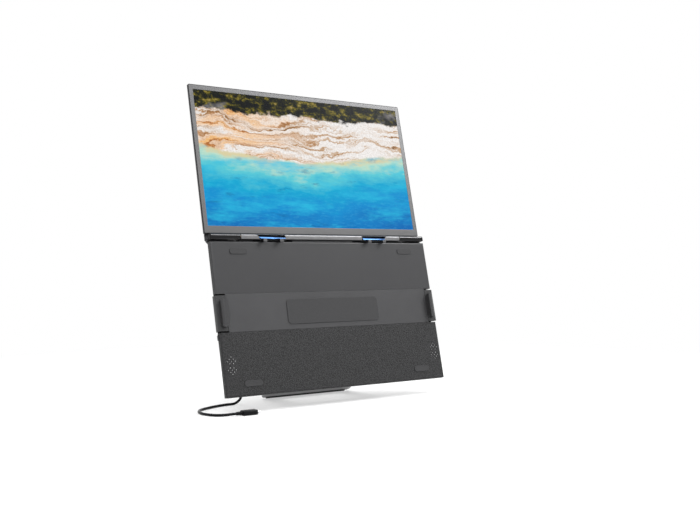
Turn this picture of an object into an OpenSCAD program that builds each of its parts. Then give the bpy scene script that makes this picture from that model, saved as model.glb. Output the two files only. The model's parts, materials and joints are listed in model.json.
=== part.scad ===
// Laptop screen extender: a second screen hinged on top of a flat body that clips to a laptop's lid.
// Everything but the lead is drawn in the lid's own plane: X to the right, Y is the depth behind
// the plane that the lid rests on, Z runs up along the lid. lean() then tips it back to its stance.
// The origin is the centre of the seat that the lid rests on.

/* [Stance] */
// Angle that the lid and the extender lean back
lean_angle = 13.6; // [8:0.1:20]
// Height of the seat's centre above the table
seat_height = 126.9; // [124:0.1:132]

/* [Body] */
// Width of the body
body_w = 356; // [350:1:366]
// Height of the body
body_h = 205.6; // [200:0.1:212]
// Distance from the body's top edge down to the seat's centre
seat_drop = 98; // [94:0.5:100]
// Depth of the body at its thin side edges
edge_t = 12; // [11.5:0.1:13]
// Extra depth of the thick middle
bulge_t = 6; // [5.5:0.1:8]
// Half of the thick middle's width
bulge_x = 92; // [88:1:96]
// Wall of the housing and panels
shell_wall = 1.8; // [1.4:0.1:2.2]
// Set-back of the front panels behind the seat plane
front_face = 0.8; // [0.6:0.1:1]
// Rounding of the front edges
front_r = 2.4; // [2:0.1:3]
// Rounding of the back edges
back_r = 5.5; // [4:0.1:6]
// Radius of the outline's corners
corner_r = 2.5; // [2:0.5:8]
// Depth of the joint between the panels and the rear housing
seam_v = 4.2; // [3.8:0.1:4.4]
// Height of the rear ledge above the body's top edge
ledge_rise = 4; // [3:0.1:4.4]
// How far the rear ledge stands out behind the body's side edges
ledge_back = 2.3; // [1.5:0.1:2.6]
// Clearance between fixed pieces
fit_gap = 0.15; // [0.1:0.01:0.2]

/* [Lid and clamps] */
// Distance of the held lid's edge in from the body's side
jaw_inset = 9.5; // [9:0.1:11]
// Thickness of the laptop lid
lid_t = 5.2; // [4.5:0.1:6]
// Thickness of the rubber that lines the jaws
pad_t = 0.6; // [0.4:0.1:0.8]
// How far the clamp heads stand out from the body's sides
head_proud = 1.6; // [1.2:0.1:2.4]
// Height of a clamp head
head_h = 47; // [44:0.1:50]
// Height of the head's centre above the seat's centre
head_rise = 1.3; // [0.5:0.1:2]
// Width of the finger over the lid's edge
finger_w = 8.1; // [7.4:0.1:9.6]
// Height of the finger
finger_h = 36.6; // [32:0.1:40]
// Thickness of the finger
finger_t = 2.2; // [1.8:0.1:2.6]
// Radius of the bend from the finger's front to its outer side
finger_r = 5.5; // [5:0.1:6]
// Travel of each clamp
clamp_travel = 24; // [15:1:28]
// Diameter of the guide rods
rod_d = 2.8; // [2.4:0.1:3]
// Distance of each guide rod from the clamp's centre line
rod_spread = 13; // [11:0.5:14]

/* [Hinge bar] */
// Height of the bar
bar_h = 7.4; // [7:0.1:8]
// Depth of the bar
bar_d = 8.6; // [8.4:0.1:9.4]
// Depth from the bar's front to the hinge axis
bar_nose = 3.1; // [2.9:0.05:3.4]
// Height of the hinge axis above the body's top edge
hinge_rise = 6; // [5.9:0.1:8]
// Distance of the knuckles' outer ends in from the body's sides
bar_inset = 2.4; // [0.5:0.1:4]
// Length of each knuckle with its seam
knuckle_l = 43.8; // [42:0.1:46]
// Width of the seam between the centre bar and the knuckles
seam_w = 1; // [0.6:0.1:1.4]
// Thickness of the end caps
cap_t = 1.4; // [1:0.1:2]
// Diameter of the hinge shafts
shaft_d = 2.6; // [2.4:0.1:2.8]
// Outer diameter of the hinge eyes
eye_d = 4.8; // [4.6:0.1:5]
// Thickness of the hinge leaves
leaf_t = 1.6; // [1.4:0.1:1.7]

/* [Hooks] */
// Distance of each hook's centre from the middle
hook_x = 86.3; // [84:0.1:88]
// Width of the hook recess in the bar
recess_w = 44.5; // [43:0.1:46]
// Width of a hook at its claws
hook_w = 33.4; // [31:0.1:35]
// Width of one claw
claw_w = 7.6; // [6:0.1:9]
// Thickness of a claw
claw_t = 1.3; // [1:0.1:1.6]
// How far the claws reach down over the lid
claw_drop = 2.6; // [2:0.1:3.4]

/* [Monitor] */
// Width of the picture, a 15.6 inch 16:9 panel
screen_w = 344.2; // [340:0.1:350]
// Height of the picture
screen_h = 193.6; // [188:0.1:200]
// Width of the frame at the sides
bezel_side = 6.7; // [5:0.1:8]
// Width of the frame at the top
bezel_top = 7.1; // [5:0.1:8]
// Height of the frame below the picture
chin_h = 10.6; // [9:0.1:13]
// Depth of the frame's front behind the seat plane
screen_v = 12.4; // [12:0.1:12.8]
// Thickness of the monitor at its rim
rim_t = 4.6; // [4.4:0.1:5.2]
// Extra depth of the monitor's thick lower back
pack_t = 3.4; // [3.2:0.1:4.4]
// Height of the thick lower back
pack_h = 88; // [80:1:110]
// Height of the monitor's lower edge above the hinge axis
chin_rise = 7.1; // [7:0.1:8]
// Gap that is left between the closed screen and the fingers
closed_gap = 0.4; // [0.3:0.1:0.8]
// Radius of the monitor's outline corners
screen_r = 2; // [1.5:0.5:8]

/* [Kickstand] */
// Width of the kickstand
stand_w = 150; // [130:1:154]
// Length of the kickstand from its pivot to its foot
stand_len = 100; // [94:1:104]
// Thickness of the kickstand plate
stand_t = 2.2; // [1.8:0.1:2.4]
// Height of the pivot above the body's lower edge
stand_rise = 48; // [44:1:52]
// Diameter of the kickstand's barrels
barrel_d = 4; // [3.8:0.1:4.2]
// Diameter of the kickstand's pins
stand_pin_d = 2; // [1.6:0.1:2.2]
// Diameter of the rubber foot
foot_d = 4.4; // [4:0.1:5]

/* [Sound] */
// Diameter of the speaker holes
dot_d = 1.5; // [1:0.1:1.9]
// Step between the speaker holes, across and up
dot_step = 2.8; // [2.6:0.05:3]
// Distance of the outermost hole in from the body's side
dot_inset = 6.4; // [6:0.1:7]
// Wall left in front of the speaker mesh
dot_wall = 0.6; // [0.5:0.1:0.9]

/* [Ports and button] */
// Distance of the first port in from the body's left side
port_inset = 56; // [52:1:58]
// Distance between the two ports
port_step = 18; // [17:1:20]
// Height of the ports above the body's lower edge
port_rise = 23; // [21:1:26]
// Length of the side button
button_l = 7; // [6:0.5:9]
// Width of the side button
button_w = 3; // [2.6:0.1:3.2]
// How far the side button stands out
button_proud = 0.9; // [0.7:0.1:1.2]
// Travel of the side button
button_travel = 0.5; // [0.3:0.1:0.5]

/* [Lead] */
// Diameter of the cord
cord_d = 3.6; // [3.4:0.1:3.8]
// Width of the plugs' bodies
plug_w = 12; // [11:0.5:13]
// Thickness of the plugs' bodies
plug_t = 6.4; // [6:0.1:7]
// Length of the plugs' bodies
plug_l = 20; // [18:0.5:22]
// Length of the strain reliefs
relief_l = 8; // [6:0.5:12]

/* [Hidden] */
$fn = 48;
tiny = 0.01;
run_gap = 0.05;

// pads on the body's front
seat_pad = [150, 34];
corner_pad = [26, 8];
corner_pad_x = 138;

// body
body_top = seat_drop;
body_bottom = seat_drop - body_h;
back_v = edge_t + bulge_t;
inner_v = front_face + shell_wall;
wing_inner_v = edge_t - shell_wall;
ramp_x = 22;
ramp_u = 17;
bulge_top = body_top - 30;
bulge_bottom = body_bottom + 22;
ledge_v = edge_t - 3;
ledge_x = body_w / 2 - 0.5;

// clamp channel
head_low = head_rise - head_h / 2;
head_high = head_rise + head_h / 2;
channel_low = head_low - 2;
channel_high = head_high + 2;
lid_x = body_w / 2 - jaw_inset;
channel_x = lid_x - 4;
channel_wall = 1.2;
head_x = body_w / 2 + head_proud;
head_back = wing_inner_v - 0.3;
finger_u = head_rise - 0.6;
finger_out = lid_x + finger_r;
jaw_reach = lid_t + finger_t;
finger_bend = finger_r - jaw_reach;

// clamp mechanism
arm_in = 100;
arm_v = inner_v + 0.9;
arm_t = 1.6;
arm_h = 36;
bush_l = 18;
bush_h = 8;
rod_wall = 0.9;
rod_v = arm_v + arm_t + 0.7 + rod_d / 2;
bush_t = rod_v + rod_d / 2 + rod_wall - arm_v;
bracket_t = 4;
rod_in = 60;
rod_out = arm_in + bush_l + clamp_travel + bracket_t + 6;
chassis_v = arm_v + bush_t;
chassis_t = 1;
chassis_x = arm_in - 2;
chassis_low = channel_low + 2;
chassis_high = body_top - 22;
spring_r = 2.6;
spring_v = arm_v + bush_t / 2;
wire_r = 0.8;
post_x = 12;

// hinge
knuckle_x = body_w / 2 - bar_inset;
bar_x = knuckle_x - knuckle_l;
axis_v = (screen_v - jaw_reach - closed_gap) / 2;
axis_u = body_top + hinge_rise;
bar_front = axis_v - bar_nose;
bar_back = bar_front + bar_d;
bar_low = axis_u - bar_h / 2;
bar_high = axis_u + bar_h / 2;
eye_in = hook_x + recess_w / 2 + 3.4;
eye_out = bar_x - 0.2;
moving_eye_w = 14;
moving_in = bar_x + seam_w + 0.4;
moving_out = moving_in + moving_eye_w;
knuckle_in = bar_x + seam_w;
leaf_v = seam_v + 0.7;
web_t = leaf_t + 0.8;
leaf_skirt = 2.5;
neck_x = 50;

// hooks
hook_v = bar_front + 3;
hook_u = axis_u - 1.4;
hook_pin_d = 1.4;
recess_back = bar_back - 1.6;
recess_top = bar_high - 1;
recess_slant = 8;
hook_side_gap = 0.6;
lid_top = body_top;

// monitor
monitor_w = screen_w + 2 * bezel_side;
monitor_h = screen_h + bezel_top + chin_h;
monitor_low = axis_u + chin_rise;
monitor_high = monitor_low + monitor_h;
picture_low = monitor_low + chin_h;
monitor_back = screen_v + rim_t;
pack_back = monitor_back + pack_t;
lip_t = 0.6;
glass_t = 1;
light_t = 1.2;
tuck = 1;
frame_t = 2.2;
cover_wall = 1.2;
pack_x = monitor_w / 2 - 20;
moving_leaf_v = screen_v + lip_t + glass_t + light_t + 0.7;
driver_size = [120, 46];

// kickstand
stand_u = body_bottom + stand_rise;
stand_v = back_v - 1.9;
recess_side = 0.7;
tray_wall = 3.2;
tray_floor = 1.5;
tray_v = stand_v - barrel_d / 2 - 0.4;
foot_r = foot_d / 2;
pivot_height = seat_height + stand_u * cos(lean_angle) - stand_v * sin(lean_angle);
stand_beta = acos((pivot_height - foot_r) / (stand_len - foot_r));
stand_open = 180 - stand_beta - lean_angle;

// ports, board and button
port_x = body_w / 2 - port_inset;
port_u = body_bottom + port_rise;
port_w = 8.94;
port_h = 3.26;
port_wall = 0.35;
board_v = 3.1;
board_t = 1;
board_size = [118, 30];
board_x = port_x - 34;
board_holes = [for (x = [-port_x - 18, -port_x + 82]) for (u = [-9, 9]) [x, port_u + u]];
port_back = edge_t - 0.2;
button_u = channel_low - channel_wall - button_l / 2 - 1;
button_v = (seam_v + edge_t) / 2 - 1.5;
flange_x = -body_w / 2 + shell_wall + 0.6;
flange_t = 0.8;

// speakers
dot_x = body_w / 2 - dot_inset;
speaker_x = dot_x - 2 * dot_step;
speaker_u = body_bottom + 40.5;
speaker_w = 17;
speaker_h = 34;
mesh_w = 14.4;
mesh_h = 29;
mesh_v = front_face + dot_wall + 0.05;
mesh_t = 0.4;
speaker_v = inner_v + 0.1;
group_step = 2 * dot_step;

// lead
table_z = -seat_height;
cord_z = table_z + cord_d / 2 + 0.1;
body_plug_v = edge_t + 0.3;
plug_end_v = body_plug_v + plug_l + relief_l;
laptop_plug_x = -143;
laptop_plug_y = -36;
laptop_plug_z = table_z + plug_t / 2 + 0.2;
cord_gap = 0.3;
relief_end_x = laptop_plug_x - plug_l - relief_l;
plug_exit_y = port_u * sin(lean_angle) + plug_end_v * cos(lean_angle);
plug_exit_z = port_u * cos(lean_angle) - plug_end_v * sin(lean_angle);
exit_y = cos(lean_angle);
exit_z = -sin(lean_angle);

// The lead's route between the two plugs, in the part's own frame
cord_points = [
    [-port_x, plug_exit_y + cord_gap * exit_y, plug_exit_z + cord_gap * exit_z],
    [-port_x, plug_exit_y + 6 * exit_y, plug_exit_z + 6 * exit_z],
    [-121.5, 33, -97], [-121, 40, -104], [-121, 45, -113], [-124, 48, -121],
    [-131, 49, cord_z], [-141, 47.5, cord_z], [-151, 45.5, cord_z], [-161, 42.5, cord_z],
    [-172, 37.5, cord_z], [-184, 31, cord_z], [-193, 24, cord_z], [-199, 14, cord_z],
    [-201.5, 4, cord_z], [-201, -6, cord_z], [-197.5, -16, cord_z],
    [-191.5, -24.5, cord_z], [-184, -31.5, cord_z + 0.6],
    [relief_end_x - 5, laptop_plug_y, laptop_plug_z],
    [relief_end_x - cord_gap, laptop_plug_y, laptop_plug_z]
];

// ---------- helpers ----------

function arc_points(cx, cy, r, from, to, n = 7) =
    [for (i = [0:n]) let (a = from + (to - from) * i / n) [cx + r * cos(a), cy + r * sin(a)]];

function ease(t) = t * t * (3 - 2 * t);

function ramp_points(x0, y0, x1, y1, n = 8) =
    [for (i = [0:n]) [x0 + (x1 - x0) * i / n, y0 + (y1 - y0) * ease(i / n)]];

// The same ramp read with its first number as the depth
function turned(points) = [for (p = points) [p[1], p[0]]];

module lean() {
    rotate([-lean_angle, 0, 0]) children();
}

// Builds a right-hand piece, or its mirror image for the left hand
module on_side(side) {
    mirror([side == "left" ? 1 : 0, 0, 0]) children();
}

module along_x(x0, x1) {
    translate([x0, 0, 0]) rotate([90, 0, 90]) linear_extrude(x1 - x0) children();
}

module along_v(v0, v1) {
    translate([0, v1, 0]) rotate([90, 0, 0]) linear_extrude(v1 - v0) children();
}

module along_u(u0, u1) {
    translate([0, 0, u0]) linear_extrude(u1 - u0) children();
}

module block(x, v, u) {
    translate([x[0], v[0], u[0]]) cube([x[1] - x[0], v[1] - v[0], u[1] - u[0]]);
}

module bar_round(x0, x1, v, u, r) {
    translate([x0, v, u]) rotate([0, 90, 0]) cylinder(r = r, h = x1 - x0);
}

module post_round(v0, v1, x, u, r) {
    translate([x, v0, u]) rotate([-90, 0, 0]) cylinder(r = r, h = v1 - v0);
}

// A rectangle with round corners, centred on a point
module round_rect(w, h, r, at = [0, 0]) {
    translate(at) {
        square([w - 2 * r, h], center = true);
        square([w, h - 2 * r], center = true);
        for (sx = [-1, 1]) for (sy = [-1, 1])
            translate([sx * (w / 2 - r), sy * (h / 2 - r)]) circle(r = r);
    }
}

// ---------- the body's form ----------

// Outline of a level cut through the body, moved in by g
function body_plan(g) = let (
    hw = body_w / 2 - g, f = front_face + g, b = edge_t - g, d = back_v - g,
    rf = max(front_r - g, 0.4), rr = max(back_r - g, 0.6), q = bulge_x - g
) concat(
    arc_points(-hw + rf, f + rf, rf, 180, 270),
    arc_points(hw - rf, f + rf, rf, 270, 360),
    arc_points(hw - rr, b - rr, rr, 0, 90),
    ramp_points(q + ramp_x, b, q, d),
    ramp_points(-q, d, -q - ramp_x, b),
    arc_points(-hw + rr, b - rr, rr, 90, 180)
);

// Outline of the body's side, depth against height, moved in by g
function body_side(g) = let (
    lo = body_bottom + g, hi = body_top - g, f = front_face + g, b = edge_t - g, d = back_v - g,
    rf = max(front_r - g, 0.4), rr = max(back_r - g, 0.6)
) concat(
    arc_points(f + rf, lo + rf, rf, 180, 270),
    arc_points(b - rr, lo + rr, rr, 270, 360),
    turned(ramp_points(bulge_bottom + g - ramp_u, b, bulge_bottom + g, d)),
    turned(ramp_points(bulge_top - g, d, bulge_top - g + ramp_u, b)),
    arc_points(b - rr, hi - rr, rr, 0, 90),
    arc_points(f + rf, hi - rf, rf, 90, 180)
);

module body_form(g) {
    intersection() {
        along_u(body_bottom - 1, body_top + 1) polygon(body_plan(g));
        along_x(-body_w / 2 - 1, body_w / 2 + 1) polygon(body_side(g));
        along_v(front_face - 1, back_v + 1)
            round_rect(body_w - 2 * g, body_h - 2 * g, corner_r - g / 2, [0, (body_top + body_bottom) / 2]);
    }
}

// A front panel: the part of the shell in front of the seam, between two heights
module front_panel(low, high, half_w) {
    intersection() {
        difference() {
            body_form(0);
            body_form(shell_wall);
        }
        block([-half_w, half_w], [front_face - 1, seam_v - fit_gap], [low, high]);
    }
}

// Oval outline of a port, w wide and h high
module port_outline(w, h) {
    round_rect(w, h, h / 2 - tiny);
}

module at_ports() {
    for (i = [0, 1]) translate([-port_x - i * port_step, 0, port_u]) children();
}

// Places of the screws in the rear housing
screw_spots = [
    for (sx = [-1, 1]) each [
        [sx * (body_w / 2 - 12), body_top - 12], [sx * (body_w / 2 - 12), channel_high + 8],
        [sx * (body_w / 2 - 26), channel_low - 14], [sx * (body_w / 2 - 12), body_bottom + 12]
    ]
];

// Places of the bosses that carry the chassis plate
chassis_spots = [
    for (x = [-chassis_x + 8, chassis_x - 8]) for (u = [channel_high + 6, chassis_high - 6]) [x, u]
];

// ---------- body ----------

module rear_housing() {
    tray_low = stand_u - barrel_d / 2 - 1.3;
    tray_high = stand_u + stand_len + 1.2;
    tray_x = stand_w / 2 + recess_side;
    color([0.16, 0.16, 0.17]) lean() difference() {
        union() {
            difference() {
                body_form(0);
                body_form(shell_wall);
                block([-body_w, body_w], [-1, seam_v], [body_bottom - 1, body_top + 1]);
            }
            intersection() {
                body_form(tiny);
                union() {
                    block([-tray_x - tray_wall, tray_x + tray_wall],
                          [tray_v - tray_floor, back_v + 1],
                          [tray_low - 1.6, tray_high + 1.6]);
                    for (p = screw_spots) post_round(inner_v + 0.2, edge_t, p[0], p[1], 3.2);
                    for (p = chassis_spots) post_round(chassis_v + chassis_t, back_v, p[0], p[1], 3);
                    for (p = board_holes) post_round(board_v + board_t, back_v, p[0], p[1], 2.2);
                    for (side = ["left", "right"]) on_side(side)
                        block([channel_x - channel_wall, body_w], [seam_v, back_v + 1],
                              [channel_low - channel_wall, channel_high + channel_wall]);
                }
            }
            rear_ledge();
        }
        block([-tray_x, tray_x], [tray_v, back_v + 1], [tray_low, tray_high]);
        bar_round(-tray_x - 2.6, tray_x + 2.6, stand_v, stand_u, stand_pin_d / 2 + 0.02);
        for (side = ["left", "right"]) on_side(side) {
            block([channel_x, body_w], [-1, wing_inner_v], [channel_low, channel_high]);
            block([channel_x - channel_wall - 1, channel_x + 1], [-1, arm_v + arm_t + 0.3],
                  [head_rise - arm_h / 2 - 0.4, head_rise + arm_h / 2 + 0.4]);
            block([eye_in - 0.4, eye_out + 0.4], [leaf_v - 0.3, leaf_v + leaf_t + 0.3],
                  [body_top - shell_wall - 1, body_top + 1]);
        }
        for (p = screw_spots) {
            post_round(edge_t - 1.4, edge_t + 1, p[0], p[1], 2.1);
            post_round(inner_v, edge_t, p[0], p[1], 0.9);
        }
        at_ports() along_v(wing_inner_v - 1, edge_t + 1)
            port_outline(port_w + 2 * port_wall + 0.4, port_h + 2 * port_wall + 0.4);
        translate([0, button_v, button_u]) along_x(-body_w / 2 - 1, -body_w / 2 + shell_wall + 1)
            round_rect(button_w + 0.3, button_l + 0.3, button_w / 2 - 0.1);
        for (i = [-4:4]) translate([i * 9, 0, body_top - 24]) along_v(edge_t, back_v + 1)
            round_rect(1.6, 10, 0.7);
        block([-neck_x - 0.4, neck_x + 0.4], [leaf_v - 0.3, leaf_v + leaf_t + 0.3],
              [body_top - shell_wall - 1, body_top + 1]);
    }
}

// The ledge along the back of the top edge, open where the hinge leaves swing down
module rear_ledge() {
    difference() {
        along_x(-ledge_x, ledge_x) polygon([
            [ledge_v, body_top - 2], [ledge_v, body_top + ledge_rise],
            [edge_t + ledge_back, body_top + ledge_rise], [edge_t + ledge_back, body_top + 0.6],
            [edge_t - 0.5, body_top - 4]
        ]);
        for (side = ["left", "right"]) on_side(side)
            block([moving_in - 0.6, moving_out + 0.6], [ledge_v - 1, edge_t + ledge_back + 1],
                  [body_top - 5, body_top + ledge_rise + 1]);
    }
}

module upper_front_panel() {
    color([0.36, 0.36, 0.37]) lean() front_panel(channel_high, body_top + 1, body_w);
}

module middle_front_panel() {
    color([0.2, 0.2, 0.21]) lean() front_panel(channel_low + fit_gap, channel_high - fit_gap, channel_x);
}

module lower_front_panel() {
    color([0.14, 0.14, 0.15]) lean() difference() {
        front_panel(body_bottom - 1, channel_low, body_w);
        for (side = ["left", "right"]) on_side(side) for (p = dot_spots())
            post_round(front_face - 1, inner_v + 1, p[0], p[1], dot_d / 2);
        for (side = ["left", "right"]) on_side(side) along_v(front_face + dot_wall, inner_v + 1)
            round_rect(mesh_w + 0.6, mesh_h + 0.6, 1.8, [speaker_x, speaker_u]);
    }
}

// Two groups of holes, each a point-first diamond that loses the hole it would share with the other
function dot_spots() = [
    for (s = [-1, 1]) for (col = [0:4]) for (row = [-2:2])
        if (abs(row) <= min(col, 4 - col) && (row + col) % 2 == 0 && !(col == 2 && row * s < 0))
            [dot_x - col * dot_step, speaker_u + s * group_step + row * dot_step]
];

module speaker(side) {
    color([0.1, 0.1, 0.11]) lean() on_side(side) {
        difference() {
            along_v(speaker_v, wing_inner_v - 0.2) round_rect(speaker_w, speaker_h, 2, [speaker_x - 1, speaker_u]);
            post_round(speaker_v - 1, speaker_v + 0.8, speaker_x - 1, speaker_u - 8, 6.4);
            post_round(speaker_v - 1, speaker_v + 0.8, speaker_x - 1, speaker_u + 8, 6.4);
        }
        for (du = [-8, 8]) post_round(speaker_v + 0.3, speaker_v + 1, speaker_x - 1, speaker_u + du, 3.4);
    }
}

module speaker_mesh(side) {
    color([0.72, 0.72, 0.73]) lean() on_side(side)
        along_v(mesh_v, mesh_v + mesh_t) round_rect(mesh_w, mesh_h, 1.5, [speaker_x, speaker_u]);
}

module lid_seat_pad() {
    color([0.08, 0.08, 0.08]) lean() along_v(0, front_face) round_rect(seat_pad[0], seat_pad[1], 5);
}

module lid_corner_pads() {
    color([0.08, 0.08, 0.08]) lean() for (sx = [-1, 1]) for (u = [body_top - 14, body_bottom + 16])
        along_v(0, front_face) round_rect(corner_pad[0], corner_pad[1], 3.5, [sx * corner_pad_x, u]);
}

module chassis_plate() {
    color([0.6, 0.6, 0.6]) lean() difference() {
        block([-chassis_x, chassis_x], [chassis_v, chassis_v + chassis_t], [chassis_low, chassis_high]);
        for (x = [-60, -20, 20, 60]) along_v(chassis_v - 1, chassis_v + 2)
            round_rect(28, 26, 6, [x, (channel_high + chassis_high) / 2]);
        for (p = chassis_spots) post_round(chassis_v - 1, chassis_v + 2, p[0], p[1], 1.2);
    }
}

module housing_screws() {
    color([0.25, 0.25, 0.26]) lean() for (p = screw_spots) difference() {
        union() {
            post_round(edge_t - 1.35, edge_t - 0.25, p[0], p[1], 1.9);
            post_round(inner_v + 1.5, edge_t - 0.3, p[0], p[1], 0.88);
        }
        post_round(edge_t - 0.9, edge_t + 1, p[0], p[1], 0.7);
    }
}

module main_board() {
    color([0.05, 0.25, 0.16]) lean() {
        along_v(board_v, board_v + board_t) difference() {
            round_rect(board_size[0], board_size[1], 2, [-board_x, port_u]);
            for (p = board_holes) translate(p) circle(d = 2.4);
        }
        for (x = [-12, 10, 30]) block([x - 5 - board_x, x + 5 - board_x],
            [board_v + board_t - tiny, board_v + 2.4], [port_u - 5, port_u + 5]);
    }
}

module port_shells() {
    color([0.7, 0.7, 0.72]) lean() at_ports() {
        difference() {
            along_v(board_v + board_t, port_back) port_outline(port_w + 2 * port_wall, port_h + 2 * port_wall);
            along_v(board_v + board_t + 0.8, port_back + 1) port_outline(port_w, port_h);
        }
        along_v(board_v + board_t, port_back - 1.6) square([6.6, 0.7], center = true);
    }
}

module side_button() {
    color([0.12, 0.12, 0.13]) lean() translate([0, button_v, button_u]) {
        along_x(-body_w / 2 - button_proud, flange_x + tiny) round_rect(button_w, button_l, button_w / 2 - 0.1);
        along_x(flange_x, flange_x + flange_t) square([button_w + 0.4, button_l + 1], center = true);
    }
}

module button_switch() {
    x = flange_x + flange_t + button_travel + 0.1;
    color([0.6, 0.6, 0.6]) lean() {
        block([x, x + 2], [button_v - 1.8, button_v + 1.8], [button_u - 2, button_u + 2]);
        block([x + 2 - tiny, x + 3], [inner_v + 0.3, wing_inner_v - 0.3],
              [button_u - button_l / 2 - 0.5, button_u + button_l / 2 + 0.5]);
    }
}

// ---------- clamps ----------

// Level cut through a clamp head, a block that slides in the body's channel
function head_plan() = concat(
    [[channel_x + 0.4, front_face]],
    arc_points(head_x - 1.2, front_face + 1.2, 1.2, 270, 360, 4),
    arc_points(head_x - 3, head_back - 3, 3, 0, 90),
    [[channel_x + 0.4, head_back]]
);

// Front view of the finger, from its lip over the lid to its outer side
module finger_outline() {
    round_rect(finger_w, finger_h, 2.4, [finger_out - finger_w / 2, finger_u]);
}

module clamp_arm(side) {
    color([0.2, 0.2, 0.21]) lean() on_side(side) difference() {
        union() {
            along_u(head_low, head_high) polygon(head_plan());
            along_v(finger_bend, front_face + tiny) intersection() {
                finger_outline();
                translate([lid_x + pad_t, head_low]) square([finger_r, head_h]);
            }
            along_v(arm_v, arm_v + arm_t) difference() {
                translate([arm_in, head_rise - arm_h / 2]) square([channel_x + 2 - arm_in, arm_h]);
                round_rect(34, 16, 4, [arm_in + 42, head_rise]);
            }
            for (s = [-1, 1])
                block([arm_in, arm_in + bush_l], [arm_v, arm_v + bush_t],
                      [head_rise + s * rod_spread - bush_h / 2, head_rise + s * rod_spread + bush_h / 2]);
            block([arm_in, arm_in + 4], [arm_v, arm_v + bush_t], [head_rise - rod_spread, head_rise + rod_spread]);
        }
        for (s = [-1, 1])
            bar_round(arm_in - 1, arm_in + bush_l + 1, rod_v, head_rise + s * rod_spread, rod_d / 2 + run_gap);
    }
}

module finger_cap(side) {
    lip = finger_out - finger_w;
    color([0.24, 0.24, 0.25]) lean() on_side(side) intersection() {
        along_u(head_low, head_high) polygon(concat(
            [[lid_x + pad_t, finger_bend], [lid_x + pad_t, -lid_t - pad_t], [lip, -lid_t - pad_t],
             [lip, -jaw_reach + 0.5], [lip + 0.5, -jaw_reach]],
            arc_points(lid_x, finger_bend, finger_r, 270, 360, 14)
        ));
        along_v(-jaw_reach - 1, finger_bend + 1) finger_outline();
    }
}

module jaw_pad(side) {
    lip = finger_out - finger_w + 0.5;
    color([0.07, 0.07, 0.07]) lean() on_side(side)
        along_u(finger_u - finger_h / 2 + 2.6, finger_u + finger_h / 2 - 2.6)
            polygon([[lip, -lid_t - pad_t], [lid_x + pad_t, -lid_t - pad_t], [lid_x + pad_t, 0], [lid_x, 0],
                     [lid_x, -lid_t], [lip, -lid_t]]);
}

module guide_rods() {
    color([0.75, 0.75, 0.76]) lean() for (side = ["left", "right"]) on_side(side) for (s = [-1, 1])
        bar_round(rod_in, rod_out, rod_v, head_rise + s * rod_spread, rod_d / 2);
}

module rod_brackets() {
    color([0.5, 0.5, 0.51]) lean() for (side = ["left", "right"]) on_side(side) for (s = [-1, 1])
        for (x = [rod_in, rod_out - bracket_t]) difference() {
            u = head_rise + s * rod_spread;
            near = x == rod_in ? arm_v : arm_v + arm_t + 0.3;
            far = x == rod_in ? chassis_v : wing_inner_v;
            block([x, x + bracket_t], [near, far - 0.05], [u - 4, u + 4]);
            bar_round(x - 1, x + bracket_t + 1, rod_v, u, rod_d / 2 + 0.02);
        }
}

module spring_anchor() {
    color([0.5, 0.5, 0.51]) lean()
        block([-post_x, post_x], [arm_v, chassis_v - 0.05], [head_rise - 4, head_rise + 4]);
}

// A close-wound tension spring: a revolved row of round turns
module arm_spring(side) {
    start = post_x + 0.3;
    turns = floor((arm_in - 0.3 - start) / (2 * wire_r));
    length = arm_in - 0.3 - start;
    step = length / turns;
    turn_line = [for (i = [0:turns - 1]) each arc_points(0, start + (i + 0.5) * step, step / 2, -90, 90, 3)];
    outline = [for (p = turn_line) [spring_r - wire_r + p[0], p[1]]];
    color([0.72, 0.72, 0.73]) lean() on_side(side) translate([0, spring_v, head_rise]) rotate([0, 90, 0])
        rotate_extrude() polygon(concat([[spring_r - 2 * wire_r, start]], outline, [[spring_r - 2 * wire_r, start + length]]));
}

// ---------- hinge ----------

// Cut through the hinge bar, depth against height, moved in by g
function bar_outline(g = 0) = concat(
    arc_points(bar_front + 0.8, bar_low + 0.8, 0.8 - g, 180, 270, 3),
    arc_points(bar_back - 2, bar_low + 2, 2 - g, 270, 360),
    arc_points(bar_back - 2.4, bar_high - 2.4, 2.4 - g, 0, 90),
    arc_points(bar_front + 2, bar_high - 2, 2 - g, 90, 180)
);

// Front view of a hook recess, whose outer side slants out by slant from the bottom to the top,
// moved in by g
module recess_outline(g, slant) {
    foot = hook_x + recess_w / 2 - recess_slant - g;
    inner = hook_x - recess_w / 2 + g;
    polygon([
        [inner, bar_low - 2], [foot - 2 * slant / (recess_top - bar_low), bar_low - 2],
        [foot + slant, recess_top], [inner, recess_top]
    ]);
}

module hinge_bar() {
    color([0.62, 0.62, 0.63]) lean() difference() {
        union() {
            along_x(-bar_x, bar_x) polygon(bar_outline());
            block([-neck_x, neck_x], [leaf_v, leaf_v + leaf_t], [body_top - 8, bar_low + 1]);
        }
        for (side = ["left", "right"]) on_side(side) {
            along_v(bar_front - 1, recess_back) recess_outline(0, recess_slant);
            bar_round(eye_in - 0.4, bar_x + 1, axis_v, axis_u, eye_d / 2 + 0.15);
            block([eye_in - 0.4, bar_x + 1], [axis_v, leaf_v + leaf_t + 0.25], [bar_low - 1, axis_u + 1.4]);
            bar_round(hook_x - recess_w / 2 - 2, hook_x + recess_w / 2 + 2, hook_v, hook_u, hook_pin_d / 2 + 0.02);
        }
    }
}

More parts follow.
